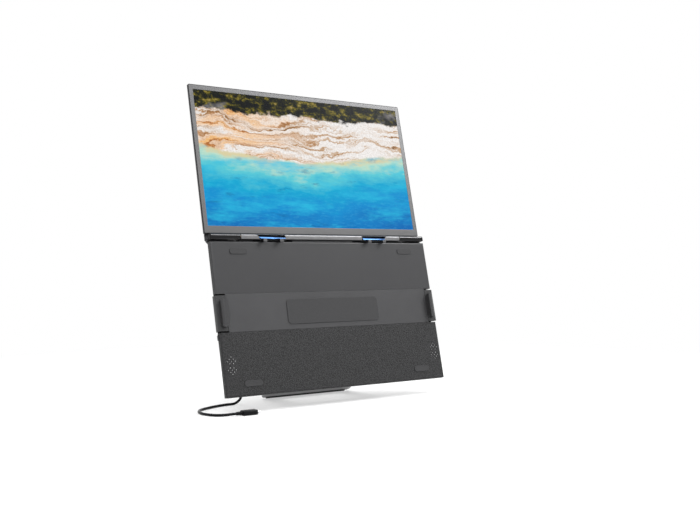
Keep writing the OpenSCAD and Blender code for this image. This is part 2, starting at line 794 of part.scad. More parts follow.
module hinge_bracket(side) {
    color([0.55, 0.55, 0.56]) lean() on_side(side) difference() {
        union() {
            bar_round(eye_in, eye_out, axis_v, axis_u, eye_d / 2);
            block([eye_in, eye_out], [axis_v, leaf_v + leaf_t], [axis_u - 1.2, axis_u + 1.2]);
            block([eye_in, eye_out], [leaf_v, leaf_v + leaf_t], [body_top - 42, axis_u + 1.2]);
            block([eye_in, eye_out], [leaf_v + leaf_t - tiny, wing_inner_v - 0.1], [body_top - 40, body_top - 18]);
        }
        bar_round(eye_in - 1, eye_out + 1, axis_v, axis_u, shaft_d / 2 + 0.02);
        for (u = [body_top - 35, body_top - 23])
            post_round(leaf_v - 1, wing_inner_v + 1, (eye_in + eye_out) / 2, u, 1.3);
    }
}

module hinge_shafts() {
    color([0.78, 0.78, 0.79]) lean() for (side = ["left", "right"]) on_side(side)
        bar_round(eye_in + 1, moving_out + 2, axis_v, axis_u, shaft_d / 2);
}

module hinge_washers() {
    color([0.8, 0.7, 0.45]) lean() for (side = ["left", "right"]) on_side(side) difference() {
        bar_round(eye_out + 0.05, moving_in - 0.05, axis_v, axis_u, eye_d / 2 - 0.2);
        bar_round(eye_out - 1, moving_in + 1, axis_v, axis_u, shaft_d / 2 + 0.02);
    }
}

module knuckle_cover(side) {
    color([0.09, 0.09, 0.1]) lean() on_side(side) difference() {
        along_x(knuckle_in, knuckle_x) polygon(bar_outline());
        bar_round(knuckle_in - 1, moving_out + 2.6, axis_v, axis_u, eye_d / 2 + 0.15);
        block([moving_in - 0.2, moving_out + 0.2], [axis_v, bar_back + 1], [axis_u - 0.2, axis_u + web_t + 0.2]);
    }
}

module bar_end_caps() {
    color([0.66, 0.66, 0.67]) lean() for (side = ["left", "right"]) on_side(side)
        for (step = [0, 1])
            along_x(knuckle_x + step * cap_t / 2 - step * tiny, knuckle_x + (1 + step) * cap_t / 2)
                polygon(bar_outline(step * 0.6));
}

module moving_leaf(side) {
    color([0.55, 0.55, 0.56]) lean() on_side(side) difference() {
        union() {
            bar_round(moving_in, moving_out, axis_v, axis_u, eye_d / 2);
            block([moving_in, moving_out], [axis_v, moving_leaf_v + leaf_t], [axis_u, axis_u + web_t]);
            block([moving_in, moving_out], [moving_leaf_v, moving_leaf_v + leaf_t], [axis_u - leaf_skirt, axis_u + 46]);
        }
        bar_round(moving_in - 1, moving_out + 1, axis_v, axis_u, shaft_d / 2 + run_gap);
        for (u = [axis_u + 26, axis_u + 38])
            post_round(moving_leaf_v - 1, moving_leaf_v + 3, (moving_in + moving_out) / 2, u, 1.3);
    }
}

// ---------- hooks ----------

// Cut through a hook, depth against height: a sloping plate with a barrel behind it
module hook_section() {
    polygon([[hook_v + 2.3, hook_u + 2.9], [hook_v + 1.2, hook_u + 3.6], [hook_v - 3.2, hook_u - 1.9],
             [hook_v - 3.8, hook_u - 3.3], [hook_v - 2.7, hook_u - 3.5]]);
    translate([hook_v, hook_u]) circle(r = 1.5);
}

module hook(side) {
    wide = recess_w - 2 * hook_side_gap;
    spring_gap = 8;
    color([0.06, 0.06, 0.07]) lean() on_side(side) difference() {
        intersection() {
            along_x(hook_x - wide / 2, hook_x + wide / 2) hook_section();
            union() {
                along_v(bar_front - 0.2, recess_back) recess_outline(hook_side_gap, recess_slant - 2.4);
                block([hook_x - hook_w / 2, hook_x + hook_w / 2], [bar_front - 6, bar_front - 0.1],
                      [bar_low - 2, hook_u]);
            }
        }
        bar_round(hook_x - wide, hook_x + wide, hook_v, hook_u, hook_pin_d / 2 + run_gap);
        block([hook_x - spring_gap / 2, hook_x + spring_gap / 2], [hook_v - 1.6, hook_v + 6],
              [hook_u - 1.8, hook_u + 1.8]);
    }
}

module hook_claws(side) {
    reach = -lid_t - 0.3;
    color([0.75, 0.75, 0.76]) lean() on_side(side) for (s = [-1, 1])
        translate([hook_x + s * (hook_w - claw_w) / 2, 0, 0])
            along_x(-claw_w / 2, claw_w / 2) polygon([
                [hook_v - 3.8, hook_u - 3.35], [reach - claw_t, lid_top + 1.6], [reach - claw_t, lid_top - claw_drop + 0.5],
                [reach - claw_t + 0.5, lid_top - claw_drop], [reach, lid_top - claw_drop], [reach, lid_top + 0.4],
                [hook_v - 2.8, lid_top + 0.4], [hook_v - 2.7, hook_u - 3.55]
            ]);
}

module hook_pins() {
    color([0.78, 0.78, 0.79]) lean() for (side = ["left", "right"]) on_side(side)
        bar_round(hook_x - recess_w / 2 - 1.6, hook_x + recess_w / 2 + 1.6, hook_v, hook_u, hook_pin_d / 2);
}

// Torsion springs round the hook pins, each a revolved row of turns
module hook_springs() {
    turns = 8;
    step = 0.8;
    row = [for (i = [0:turns - 1]) each arc_points(1.05, (i - turns / 2 + 0.5) * step, step / 2, -90, 90, 3)];
    color([0.72, 0.72, 0.73]) lean() for (side = ["left", "right"]) on_side(side)
        translate([hook_x, hook_v, hook_u]) rotate([0, 90, 0]) rotate_extrude()
            polygon(concat([[0.8, -turns * step / 2]], row, [[0.8, turns * step / 2]]));
}

// ---------- monitor ----------

module monitor_outline(g) {
    round_rect(monitor_w - 2 * g, monitor_h - 2 * g, screen_r - g / 2, [0, (monitor_low + monitor_high) / 2]);
}

module picture_outline(g) {
    translate([0, picture_low + screen_h / 2]) square([screen_w + 2 * g, screen_h + 2 * g], center = true);
}

module monitor_frame() {
    color([0.45, 0.45, 0.46]) lean() difference() {
        along_v(screen_v, screen_v + frame_t) monitor_outline(0);
        along_v(screen_v - 1, screen_v + frame_t + 1) picture_outline(0);
        along_v(screen_v + lip_t, screen_v + frame_t + 1) picture_outline(tuck + 0.1);
    }
}

module display_panel() {
    color([0.1, 0.45, 0.7]) lean() along_v(screen_v + lip_t, screen_v + lip_t + glass_t) picture_outline(tuck);
}

module backlight_unit() {
    start = screen_v + lip_t + glass_t;
    color([0.8, 0.8, 0.82]) lean() along_v(start, start + light_t) picture_outline(tuck - 0.4);
}

// Outline of the back's side, depth against height, moved in by g
function cover_side(g) = let (
    lo = monitor_low + g, hi = monitor_high - g, f = screen_v + frame_t, b = monitor_back - g, d = pack_back - g,
    top = monitor_low + pack_h - g
) concat(
    [[f, lo], [d - 2, lo]],
    arc_points(d - 2, lo + 2, 2, 270, 360, 4),
    turned(ramp_points(top, d, top + 16, b)),
    arc_points(b - 1.6, hi - 1.6, 1.6, 0, 90, 4),
    [[f, hi]]
);

// Level cut through the back cover, moved in by g
function cover_plan(g) = let (
    hw = monitor_w / 2 - g, f = screen_v + frame_t, b = monitor_back - g, d = pack_back - g, q = pack_x - g
) concat(
    [[-hw, f], [hw, f]],
    arc_points(hw - 1.6, b - 1.6, 1.6, 0, 90, 4),
    ramp_points(q + 10, b, q, d),
    ramp_points(-q, d, -q - 10, b),
    arc_points(-hw + 1.6, b - 1.6, 1.6, 90, 180, 4)
);

module cover_form(g) {
    intersection() {
        along_u(monitor_low - 1, monitor_high + 1) polygon(cover_plan(g));
        along_x(-monitor_w / 2 - 1, monitor_w / 2 + 1) polygon(cover_side(g));
        along_v(screen_v, pack_back + 1) monitor_outline(g);
    }
}

module monitor_back_cover() {
    color([0.3, 0.3, 0.31]) lean() difference() {
        cover_form(0);
        cover_form(cover_wall);
        for (side = ["left", "right"]) on_side(side)
            block([moving_in - 0.3, moving_out + 0.3], [moving_leaf_v - 0.3, moving_leaf_v + leaf_t + 0.3],
                  [monitor_low - 1, monitor_low + cover_wall + 1]);
    }
}

module driver_board() {
    start = moving_leaf_v;
    color([0.05, 0.25, 0.16]) lean() {
        along_v(start, start + 1) round_rect(driver_size[0], driver_size[1], 2, [0, monitor_low + 40]);
        for (x = [-36, 0, 36]) block([x - 6, x + 6], [start + 1 - tiny, start + 2.2], [monitor_low + 32, monitor_low + 44]);
    }
}

// ---------- kickstand ----------

// Swings what is drawn folded against the back out to the open stand
module opened_stand() {
    translate([0, stand_v, stand_u]) rotate([-stand_open, 0, 0]) children();
}

module kickstand() {
    color([0.5, 0.5, 0.52]) lean() opened_stand() difference() {
        union() {
            along_v(-stand_t / 2, stand_t / 2) difference() {
                round_rect(stand_w, stand_len - foot_r - 1.6, 5, [0, (stand_len - foot_r + 1.6) / 2]);
                round_rect(stand_w - 44, stand_len - 46, 10, [0, stand_len / 2 + 2]);
            }
            for (s = [-1, 1]) bar_round(s * (stand_w / 2 - 9) - 9, s * (stand_w / 2 - 9) + 9, 0, 0, barrel_d / 2);
            for (s = [-1, 1]) block([s * (stand_w / 2 - 9) - 9, s * (stand_w / 2 - 9) + 9], [-stand_t / 2, stand_t / 2], [0, 8]);
        }
        for (s = [-1, 1]) bar_round(s * stand_w / 2 - 12, s * stand_w / 2 + 12, 0, 0, stand_pin_d / 2 + run_gap);
        bar_round(-stand_w / 2 + 8, stand_w / 2 - 8, 0, stand_len - foot_r, foot_r + 0.05);
    }
}

module kickstand_pins() {
    color([0.78, 0.78, 0.79]) lean() translate([0, stand_v, stand_u]) for (s = [-1, 1])
        bar_round(s * (stand_w / 2 - 2) - 5.2, s * (stand_w / 2 - 2) + 5.2, 0, 0, stand_pin_d / 2);
}

module kickstand_foot() {
    color([0.08, 0.08, 0.08]) lean() opened_stand()
        bar_round(-stand_w / 2 + 8.2, stand_w / 2 - 8.2, 0, stand_len - foot_r, foot_r);
}

// ---------- lead ----------

// A plug drawn along +Y from its socket face: metal tip, body and tapered strain relief
module plug() {
    difference() {
        along_v(-6.4, tiny) port_outline(8.3, 2.4);
        along_v(-7, -1) port_outline(7.5, 1.6);
    }
    along_v(0, plug_l) round_rect(plug_w, plug_t, 2.2);
    translate([0, plug_l, 0]) rotate([-90, 0, 0]) cylinder(r1 = plug_t / 2 - 0.5, r2 = cord_d / 2 + 0.4, h = relief_l);
}

module body_plug() {
    color([0.07, 0.07, 0.08]) lean() translate([-port_x, body_plug_v, port_u]) plug();
}

module laptop_plug() {
    color([0.07, 0.07, 0.08]) translate([laptop_plug_x, laptop_plug_y, laptop_plug_z]) rotate([0, 0, 90]) plug();
}

// Catmull-Rom point between b and c
function smooth(a, b, c, d, t) =
    0.5 * (2 * b + (c - a) * t + (2 * a - 5 * b + 4 * c - d) * t * t + (3 * b - 3 * c + d - a) * t * t * t);

function unit(v) = v / norm(v);

// A tube of r round a line of points: one ring of n corners at each point
module tube(path, r, n) {
    last = len(path) - 1;
    dirs = [for (i = [0:last]) unit(path[min(i + 1, last)] - path[max(i - 1, 0)])];
    sides = [for (d = dirs) unit(cross(d, abs(d[2]) > 0.85 ? [0, 1, 0] : [0, 0, 1]))];
    rings = [for (i = [0:last]) for (k = [0:n - 1])
        path[i] + r * (cos(k * 360 / n) * sides[i] + sin(k * 360 / n) * cross(sides[i], dirs[i]))];
    walls = [for (i = [0:last - 1]) for (k = [0:n - 1])
        [i * n + k, i * n + (k + 1) % n, (i + 1) * n + (k + 1) % n, (i + 1) * n + k]];
    caps = [[for (k = [n - 1:-1:0]) k], [for (k = [0:n - 1]) last * n + k]];
    polyhedron(points = rings, faces = concat(walls, caps), convexity = 8);
}

module cord() {
    last = len(cord_points) - 1;
    steps = 3;
    path = concat(
        [for (i = [0:last - 1]) for (j = [0:steps - 1])
            smooth(cord_points[max(i - 1, 0)], cord_points[i], cord_points[i + 1],
                   cord_points[min(i + 2, last)], j / steps)],
        [cord_points[last]]
    );
    color([0.05, 0.05, 0.05]) tube(path, cord_d / 2, 8);
}

// ---------- drawing ----------

rear_housing();
upper_front_panel();
middle_front_panel();
lower_front_panel();
lid_seat_pad();
lid_corner_pads();
chassis_plate();
housing_screws();
main_board();
port_shells();
side_button();
button_switch();
speaker("left");  // left_speaker
speaker("right");  // right_speaker
speaker_mesh("left");  // left_speaker_mesh
speaker_mesh("right");  // right_speaker_mesh
guide_rods();
rod_brackets();
spring_anchor();
arm_spring("left");  // left_arm_spring
arm_spring("right");  // right_arm_spring
clamp_arm("left");  // left_clamp_arm
clamp_arm("right");  // right_clamp_arm
finger_cap("left");  // left_finger_cap
finger_cap("right");  // right_finger_cap
jaw_pad("left");  // left_jaw_pad
jaw_pad("right");  // right_jaw_pad
hinge_bar();
hinge_bracket("left");  // left_hinge_bracket
hinge_bracket("right");  // right_hinge_bracket
hinge_shafts();
hinge_washers();
hook("left");  // left_hook
hook("right");  // right_hook
hook_claws("left");  // left_hook_claws
hook_claws("right");  // right_hook_claws
hook_pins();
hook_springs();
knuckle_cover("left");  // left_knuckle_cover
knuckle_cover("right");  // right_knuckle_cover
bar_end_caps();
moving_leaf("left");  // left_moving_leaf
moving_leaf("right");  // right_moving_leaf
monitor_frame();
display_panel();
backlight_unit();
monitor_back_cover();
driver_board();
kickstand();
kickstand_pins();
kickstand_foot();
cord();
body_plug();
laptop_plug();
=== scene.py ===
import bpy
import json
import math
from mathutils import Matrix, Vector


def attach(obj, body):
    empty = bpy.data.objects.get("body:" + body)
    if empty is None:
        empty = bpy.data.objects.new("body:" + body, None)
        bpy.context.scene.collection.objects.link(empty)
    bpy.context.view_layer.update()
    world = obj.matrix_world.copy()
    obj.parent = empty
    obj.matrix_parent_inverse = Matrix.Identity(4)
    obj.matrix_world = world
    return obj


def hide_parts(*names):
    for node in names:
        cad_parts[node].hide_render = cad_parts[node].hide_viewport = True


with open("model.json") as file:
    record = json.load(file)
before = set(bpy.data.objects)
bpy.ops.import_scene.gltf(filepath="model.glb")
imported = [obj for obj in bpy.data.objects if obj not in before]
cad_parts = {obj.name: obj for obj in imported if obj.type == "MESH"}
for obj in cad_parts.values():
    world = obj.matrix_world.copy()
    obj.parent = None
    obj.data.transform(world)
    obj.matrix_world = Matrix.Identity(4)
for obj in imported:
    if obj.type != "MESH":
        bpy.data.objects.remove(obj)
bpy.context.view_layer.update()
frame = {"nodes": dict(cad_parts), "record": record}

mm = 0.001
leanAngle = math.radians(13.6)
leanUp = Vector((0.0, math.sin(leanAngle), math.cos(leanAngle)))  # up along the lid
leanBack = Vector((0.0, math.cos(leanAngle), -math.sin(leanAngle)))  # depth behind the lid
tableZ = -126.9 * mm
sharpAngle = math.radians(32)  # steeper edges are bevelled and stay crisp
endFacing = 0.9  # faces whose normal is at least this much along Y are ends

nodes = frame["nodes"]
bodyOfNode = {}
for bodyName, members in frame["record"]["behaviour"]["bodies"].items():
    for member in members:
        bodyOfNode[member] = bodyName


def leanPoint(x, depth, height):
    # a point given in the lid's own plane, in mm
    return Vector((x * mm, 0, 0)) + leanBack * depth * mm + leanUp * height * mm


def leanPlace(vertex):
    # depth and height of a vertex in the lid's own plane, in mm
    return vertex.co.dot(leanBack) / mm, vertex.co.dot(leanUp) / mm


def deselectAll():
    if bpy.context.mode != "OBJECT":
        bpy.ops.object.mode_set(mode="OBJECT")
    bpy.ops.object.select_all(action="DESELECT")


def makeActive(piece):
    deselectAll()
    piece.select_set(True)
    bpy.context.view_layer.objects.active = piece


def openMesh(select=None):
    # into edit mode, with all or nothing selected where that is asked
    bpy.ops.object.mode_set(mode="EDIT")
    if select:
        bpy.ops.mesh.select_all(action=select)


def closeMesh():
    bpy.ops.object.mode_set(mode="OBJECT")


def applyPlace():
    bpy.ops.object.transform_apply(location=True, rotation=True, scale=True)


def smoothFaces(piece, angle=sharpAngle):
    makeActive(piece)
    bpy.ops.object.shade_smooth_by_angle(angle=angle)


def dress(piece, material):
    piece.data.materials.clear()
    piece.data.materials.append(material)


# the camera comes first
cameraSettings = {
    "place": Vector((-695.5, -1066.9, 65.1)) * mm,
    "turn": math.radians(34.10),  # from straight ahead towards the right
    "tilt": math.radians(-0.136),
    "roll": math.radians(-0.317),
    "focal": 47.065,
    "sensor": 36.0,
}


def addCamera(s):
    ahead = Vector((
        math.sin(s["turn"]) * math.cos(s["tilt"]),
        math.cos(s["turn"]) * math.cos(s["tilt"]),
        math.sin(s["tilt"]),
    ))
    side = Vector((math.cos(s["turn"]), -math.sin(s["turn"]), 0.0))
    top = side.cross(ahead)
    right = side * math.cos(s["roll"]) + top * math.sin(s["roll"])
    up = top * math.cos(s["roll"]) - side * math.sin(s["roll"])
    bpy.ops.object.camera_add(location=s["place"])
    camera = bpy.context.object
    camera.name = "camera"
    turn = Matrix((right, up, -ahead)).transposed().to_4x4()
    camera.matrix_world = Matrix.Translation(s["place"]) @ turn
    camera.data.sensor_fit = "HORIZONTAL"
    camera.data.sensor_width = s["sensor"]
    camera.data.lens = s["focal"]
    bpy.context.scene.camera = camera


addCamera(cameraSettings)
print("camera placed")


# building blocks of the finishes; owner is a material or the world
def newMaterial(name):
    material = bpy.data.materials.new(name)
    material.use_nodes = True
    return material


def addNode(owner, kind, **settings):
    node = owner.node_tree.nodes.new(kind)
    for key, value in settings.items():
        setattr(node, key, value)
    return node


def connect(owner, item, socket):
    # an output is linked on, a colour or number is set
    if isinstance(item, bpy.types.NodeSocket):
        owner.node_tree.links.new(item, socket)
    elif socket.type == "RGBA":
        socket.default_value = (*item, 1)
    else:
        socket.default_value = item


def setShader(material, sockets):
    shader = material.node_tree.nodes["Principled BSDF"]
    for name, item in sockets.items():
        connect(material, item, shader.inputs[name])


def compute(owner, kind, *items):
    node = addNode(owner, "ShaderNodeMath", operation=kind)
    for socket, item in zip(node.inputs, items):
        connect(owner, item, socket)
    return node.outputs["Value"]


def placeOn(material):
    return addNode(material, "ShaderNodeTexCoord").outputs["Object"]


def reachAlong(material, axis):
    # how far a point lies along an axis, in metres
    dot = addNode(material, "ShaderNodeVectorMath", operation="DOT_PRODUCT")
    connect(material, placeOn(material), dot.inputs[0])
    dot.inputs[1].default_value = axis
    return dot.outputs["Value"]


def noiseFrom(material, vector, detail, rough):
    noise = addNode(material, "ShaderNodeTexNoise")
    noise.inputs["Scale"].default_value = 1.0
    noise.inputs["Detail"].default_value = detail
    noise.inputs["Roughness"].default_value = rough
    connect(material, vector, noise.inputs["Vector"])
    return noise.outputs["Fac"]


def noiseAt(material, size, stretch=(1, 1, 1), detail=3.0, rough=0.55, lean=False):
    # a noise whose features are about size mm across, longer where stretch is above 1
    mapping = addNode(material, "ShaderNodeMapping")
    if lean:
        mapping.inputs["Rotation"].default_value = (leanAngle, 0, 0)
    mapping.inputs["Scale"].default_value = [1.0 / (size * mm * k) for k in stretch]
    connect(material, placeOn(material), mapping.inputs["Vector"])
    return noiseFrom(material, mapping.outputs["Vector"], detail, rough)


def colorSpan(material, factor, stops):
    ramp = addNode(material, "ShaderNodeValToRGB")
    while len(ramp.color_ramp.elements) < len(stops):
        ramp.color_ramp.elements.new(0.5)
    for element, (place, color) in zip(ramp.color_ramp.elements, stops):
        element.position = place
        element.color = (*color, 1)
    connect(material, factor, ramp.inputs["Fac"])
    return ramp.outputs["Color"]


def shadeSpan(material, factor, color, stops, shades):
    # one colour made darker or lighter at each stop
    tones = [tuple(min(1.0, c * k) for c in color) for k in shades]
    return colorSpan(material, factor, list(zip(stops, tones)))


def numberSpan(material, factor, low, high, start=0.0, end=1.0):
    span = addNode(material, "ShaderNodeMapRange")
    span.inputs["From Min"].default_value = start
    span.inputs["From Max"].default_value = end
    span.inputs["To Min"].default_value = low
    span.inputs["To Max"].default_value = high
    connect(material, factor, span.inputs["Value"])
    return span.outputs["Result"]


def roughSpan(material, factor, roughness, change, span=(0.0, 1.0)):
    # roughness changed by the two amounts at the ends of the span
    return numberSpan(material, factor, roughness + change[0], roughness + change[1], *span)


def raiseBy(material, height, depth):
    bump = addNode(material, "ShaderNodeBump")
    bump.inputs["Distance"].default_value = depth * mm
    connect(material, height, bump.inputs["Height"])
    return bump.outputs["Normal"]


def mixColors(material, factor, first, second, kind="MIX"):
    mix = addNode(material, "ShaderNodeMix", data_type="RGBA", blend_type=kind)
    connect(material, factor, mix.inputs["Factor"])
    connect(material, first, mix.inputs[6])  # 6, 7 and 2 are the colour sockets
    connect(material, second, mix.inputs[7])
    return mix.outputs[2]


plasticSettings = {
    "patch": 42, "patchStops": (0.3, 0.72), "patchShades": (0.88, 1.12),
    "grain": 0.35, "grainSpan": (0.25, 0.75), "rougher": (-0.06, 0.08),
}


def mouldedPlastic(name, color, roughness, depth=0.012, sheen=0.5, s=plasticSettings):
    # fine spark-eroded texture with slow patches of lighter and darker colour
    material = newMaterial(name)
    patches = noiseAt(material, s["patch"], detail=4)
    fine = noiseAt(material, s["grain"], detail=2)
    setShader(material, {
        "Base Color": shadeSpan(material, patches, color, s["patchStops"], s["patchShades"]),
        "Roughness": roughSpan(material, fine, roughness, s["rougher"], s["grainSpan"]),
        "Normal": raiseBy(material, fine, depth),
        "Specular IOR Level": sheen,
    })
    return material


leatherSettings = {
    "wander": 4, "shift": 0.9,  # size and reach of what makes the cells uneven
    "cell": 1.15, "softness": 0.35, "creases": (0.05, 0.75),
    # painted shade in the creases and painted highlight on the cell tops, by height
    "stops": (0.05, 0.55, 1.0), "shades": (0.3, 1.0, 2.2),
    "rougher": (0.15, -0.05), "depth": 0.24, "sheen": 0.3,
}


def leatherPlastic(name, color, roughness, s):
    # pebbled cells with soft creases between them, with painted shade in the creases and painted
    # highlight on the tops of the cells
    material = newMaterial(name)
    wander = addNode(material, "ShaderNodeTexNoise")
    wander.inputs["Scale"].default_value = 1 / (s["wander"] * mm)
    connect(material, placeOn(material), wander.inputs["Vector"])
    warp = addNode(material, "ShaderNodeVectorMath", operation="MULTIPLY_ADD")
    connect(material, wander.outputs["Color"], warp.inputs[0])
    warp.inputs[1].default_value = [s["shift"] * mm] * 3
    connect(material, placeOn(material), warp.inputs[2])
    cells = addNode(material, "ShaderNodeTexVoronoi", feature="SMOOTH_F1")
    cells.inputs["Scale"].default_value = 1 / (s["cell"] * mm)
    cells.inputs["Smoothness"].default_value = s["softness"]
    connect(material, warp.outputs["Vector"], cells.inputs["Vector"])
    height = numberSpan(material, cells.outputs["Distance"], 1.0, 0.0, *s["creases"])
    setShader(material, {
        "Base Color": shadeSpan(material, height, color, s["stops"], s["shades"]),
        "Roughness": roughSpan(material, height, roughness, s["rougher"]),
        "Normal": raiseBy(material, height, s["depth"]),
        "Specular IOR Level": s["sheen"],
    })
    return material


paintSettings = {
    "flake": 0.28, "flakeShades": (0.9, 1.1), "rougher": (-0.04, 0.07), "depth": 0.004,
    "patch": 70, "patchShades": (0.93, 1.0),
    "span": (0.3, 0.7),
}


def paintedMetal(name, color, roughness, metallic=0.6, s=paintSettings):
    # metallic paint: tiny flakes under a satin coat
    material = newMaterial(name)
    flakes = noiseAt(material, s["flake"], detail=1, lean=True)
    slow = noiseAt(material, s["patch"], detail=3, lean=True)
    fine = shadeSpan(material, flakes, color, s["span"], s["flakeShades"])
    broad = shadeSpan(material, slow, (1.0, 1.0, 1.0), s["span"], s["patchShades"])
    setShader(material, {
        "Base Color": mixColors(material, 1.0, fine, broad, "MULTIPLY"),
        "Metallic": metallic,
        "Roughness": roughSpan(material, flakes, roughness, s["rougher"], s["span"]),
        "Normal": raiseBy(material, flakes, s["depth"]),
    })
    return material


frameSettings = {
    "halfWidth": 178.8, "low": 111.1, "high": 322.4,
    # painted shade: width and colour of a dark band along the frame's outer edges
    "rim": 1.0, "rimColor": (0.010, 0.010, 0.011),
}


def rimmedPaint(name, color, roughness, s):
    # the frame's paint, with painted shade as a narrow dark band along its outer edges
    material = paintedMetal(name, color, roughness)
    shader = material.node_tree.nodes["Principled BSDF"]
    paint = shader.inputs["Base Color"].links[0].from_socket
    height = reachAlong(material, leanUp)
    width = compute(material, "ABSOLUTE", reachAlong(material, (1, 0, 0)))
    side = compute(material, "GREATER_THAN", width, (s["halfWidth"] - s["rim"]) * mm)
    top = compute(material, "GREATER_THAN", height, (s["high"] - s["rim"]) * mm)
    low = compute(material, "LESS_THAN", height, (s["low"] + s["rim"]) * mm)
    # where the painted shade goes: the sides, the top and the bottom edge
    edge = compute(material, "MAXIMUM", compute(material, "MAXIMUM", side, top), low)
    setShader(material, {"Base Color": mixColors(material, edge, paint, s["rimColor"])})
    return material


brushedSettings = {
    "stops": (0.25, 0.75), "shades": (0.86, 1.1),
    "span": (0.3, 0.7), "rougher": (-0.06, 0.1), "depth": 0.006,
}


def brushedMetal(name, color, roughness, along=(60, 1, 1), metallic=1.0, streak=0.25,
                 s=brushedSettings):
    # long fine lines, along X unless told otherwise
    material = newMaterial(name)
    lines = noiseAt(material, streak, stretch=along, detail=3, lean=True)
    setShader(material, {
        "Base Color": shadeSpan(material, lines, color, s["stops"], s["shades"]),
        "Metallic": metallic,
        "Roughness": roughSpan(material, lines, roughness, s["rougher"], s["span"]),
        "Normal": raiseBy(material, lines, s["depth"]),
    })
    return material


glossSettings = {
    "haze": 9, "stops": (0.3, 0.75), "shades": (0.8, 1.25),
    "span": (0.3, 0.7), "rougher": (-0.04, 0.08), "ripple": 3, "depth": 0.006,
}


def glossFinish(name, color, roughness, sheen=0.5, metallic=0.0, s=glossSettings):
    # smooth and slightly hazy, with a faint ripple
    material = newMaterial(name)
    haze = noiseAt(material, s["haze"], detail=5)
    setShader(material, {
        "Base Color": shadeSpan(material, haze, color, s["stops"], s["shades"]),
        "Metallic": metallic,
        "Roughness": roughSpan(material, haze, roughness, s["rougher"], s["span"]),
        "Normal": raiseBy(material, noiseAt(material, s["ripple"], detail=2), s["depth"]),
        "Specular IOR Level": sheen,
    })
    return material


rubberSettings = {
    "dust": 1.6, "stops": (0.35, 0.8), "shades": (1.0, 1.9), "rougher": (-0.08, 0.1),
    "pores": 0.3, "depth": 0.02,
}


def softRubber(name, color, roughness, s=rubberSettings):
    material = newMaterial(name)
    dust = noiseAt(material, s["dust"], detail=6, rough=0.7)
    setShader(material, {
        "Base Color": shadeSpan(material, dust, color, s["stops"], s["shades"]),
        "Roughness": roughSpan(material, dust, roughness, s["rougher"]),
        "Normal": raiseBy(material, noiseAt(material, s["pores"], detail=2), s["depth"]),
    })
    return material


clothSettings = {
    "pitch": 0.45, "uneven": 0.4, "stops": (0.0, 0.6), "shades": (0.72, 1.0),
    "roughness": 0.75, "depth": 0.08,
}


def wovenCloth(name, color, s):
    # crossing threads behind the speaker holes
    material = newMaterial(name)
    waves = []
    for direction in ("X", "Z"):
        wave = addNode(material, "ShaderNodeTexWave", wave_type="BANDS", bands_direction=direction)
        wave.inputs["Scale"].default_value = 1 / (math.pi * s["pitch"] * mm)
        wave.inputs["Distortion"].default_value = s["uneven"]
        connect(material, placeOn(material), wave.inputs["Vector"])
        waves.append(wave.outputs["Fac"])
    weave = compute(material, "MULTIPLY", *waves)
    setShader(material, {
        "Base Color": shadeSpan(material, weave, color, s["stops"], s["shades"]),
        "Roughness": s["roughness"],
        "Normal": raiseBy(material, weave, s["depth"]),
    })
    return material


boardSettings = {
    "cell": 5, "track": (0.02, 0.05), "stops": (0.0, 1.0), "shades": (1.0, 2.2),
    "roughness": 0.35, "depth": 0.02,
}


def circuitBoard(name, color, s):
    # solder mask with copper tracks showing through
    material = newMaterial(name)
    tracks = addNode(material, "ShaderNodeTexVoronoi", feature="DISTANCE_TO_EDGE")
    tracks.inputs["Scale"].default_value = 1 / (s["cell"] * mm)
    connect(material, placeOn(material), tracks.inputs["Vector"])
    line = numberSpan(material, tracks.outputs["Distance"], 1.0, 0.0, *s["track"])
    setShader(material, {
        "Base Color": shadeSpan(material, line, color, s["stops"], s["shades"]),
        "Roughness": s["roughness"],
        "Normal": raiseBy(material, line, s["depth"]),
    })
    return material


# name, colour, roughness and what differs from the kind
shellBlack = mouldedPlastic("shellBlack", (0.014, 0.014, 0.015), 0.5, sheen=0.3)
panelPaint = paintedMetal("panelPaint", (0.048, 0.048, 0.050), 0.38)
middleBlack = mouldedPlastic("middleBlack", (0.026, 0.026, 0.028), 0.55)
grainedBlack = leatherPlastic("grainedBlack", (0.019, 0.019, 0.020), 0.46, leatherSettings)
clampSatin = mouldedPlastic("clampSatin", (0.028, 0.028, 0.029), 0.42, depth=0.006, sheen=0.35)
fingerSatin = paintedMetal("fingerSatin", (0.060, 0.060, 0.062), 0.3, metallic=0.7)
barAluminium = brushedMetal("barAluminium", (0.165, 0.165, 0.169), 0.3, metallic=0.85)
knuckleDark = brushedMetal("knuckleDark", (0.026, 0.026, 0.027), 0.16)
capBlack = mouldedPlastic("capBlack", (0.007, 0.007, 0.008), 0.5, depth=0.003, sheen=0.12)
hookPaintedBlueReflection = glossFinish("hookPaintedBlueReflection", (0.050, 0.14, 0.33), 0.05, metallic=1.0)  # polished, its blue a painted reflection of the display
clawSteel = brushedMetal("clawSteel", (0.11, 0.11, 0.113), 0.3, along=(1, 1, 20))
frameGrey = rimmedPaint("frameGrey", (0.122, 0.122, 0.124), 0.38, frameSettings)
backAluminium = brushedMetal("backAluminium", (0.060, 0.060, 0.063), 0.42, (1, 1, 1), 0.8, 0.3)
standAluminium = brushedMetal("standAluminium", (0.30, 0.30, 0.305), 0.36, metallic=0.85)
padRubber = softRubber("padRubber", (0.016, 0.016, 0.017), 0.72)
footRubber = softRubber("footRubber", (0.020, 0.020, 0.021), 0.66)
steelBare = brushedMetal("steelBare", (0.42, 0.42, 0.43), 0.3)
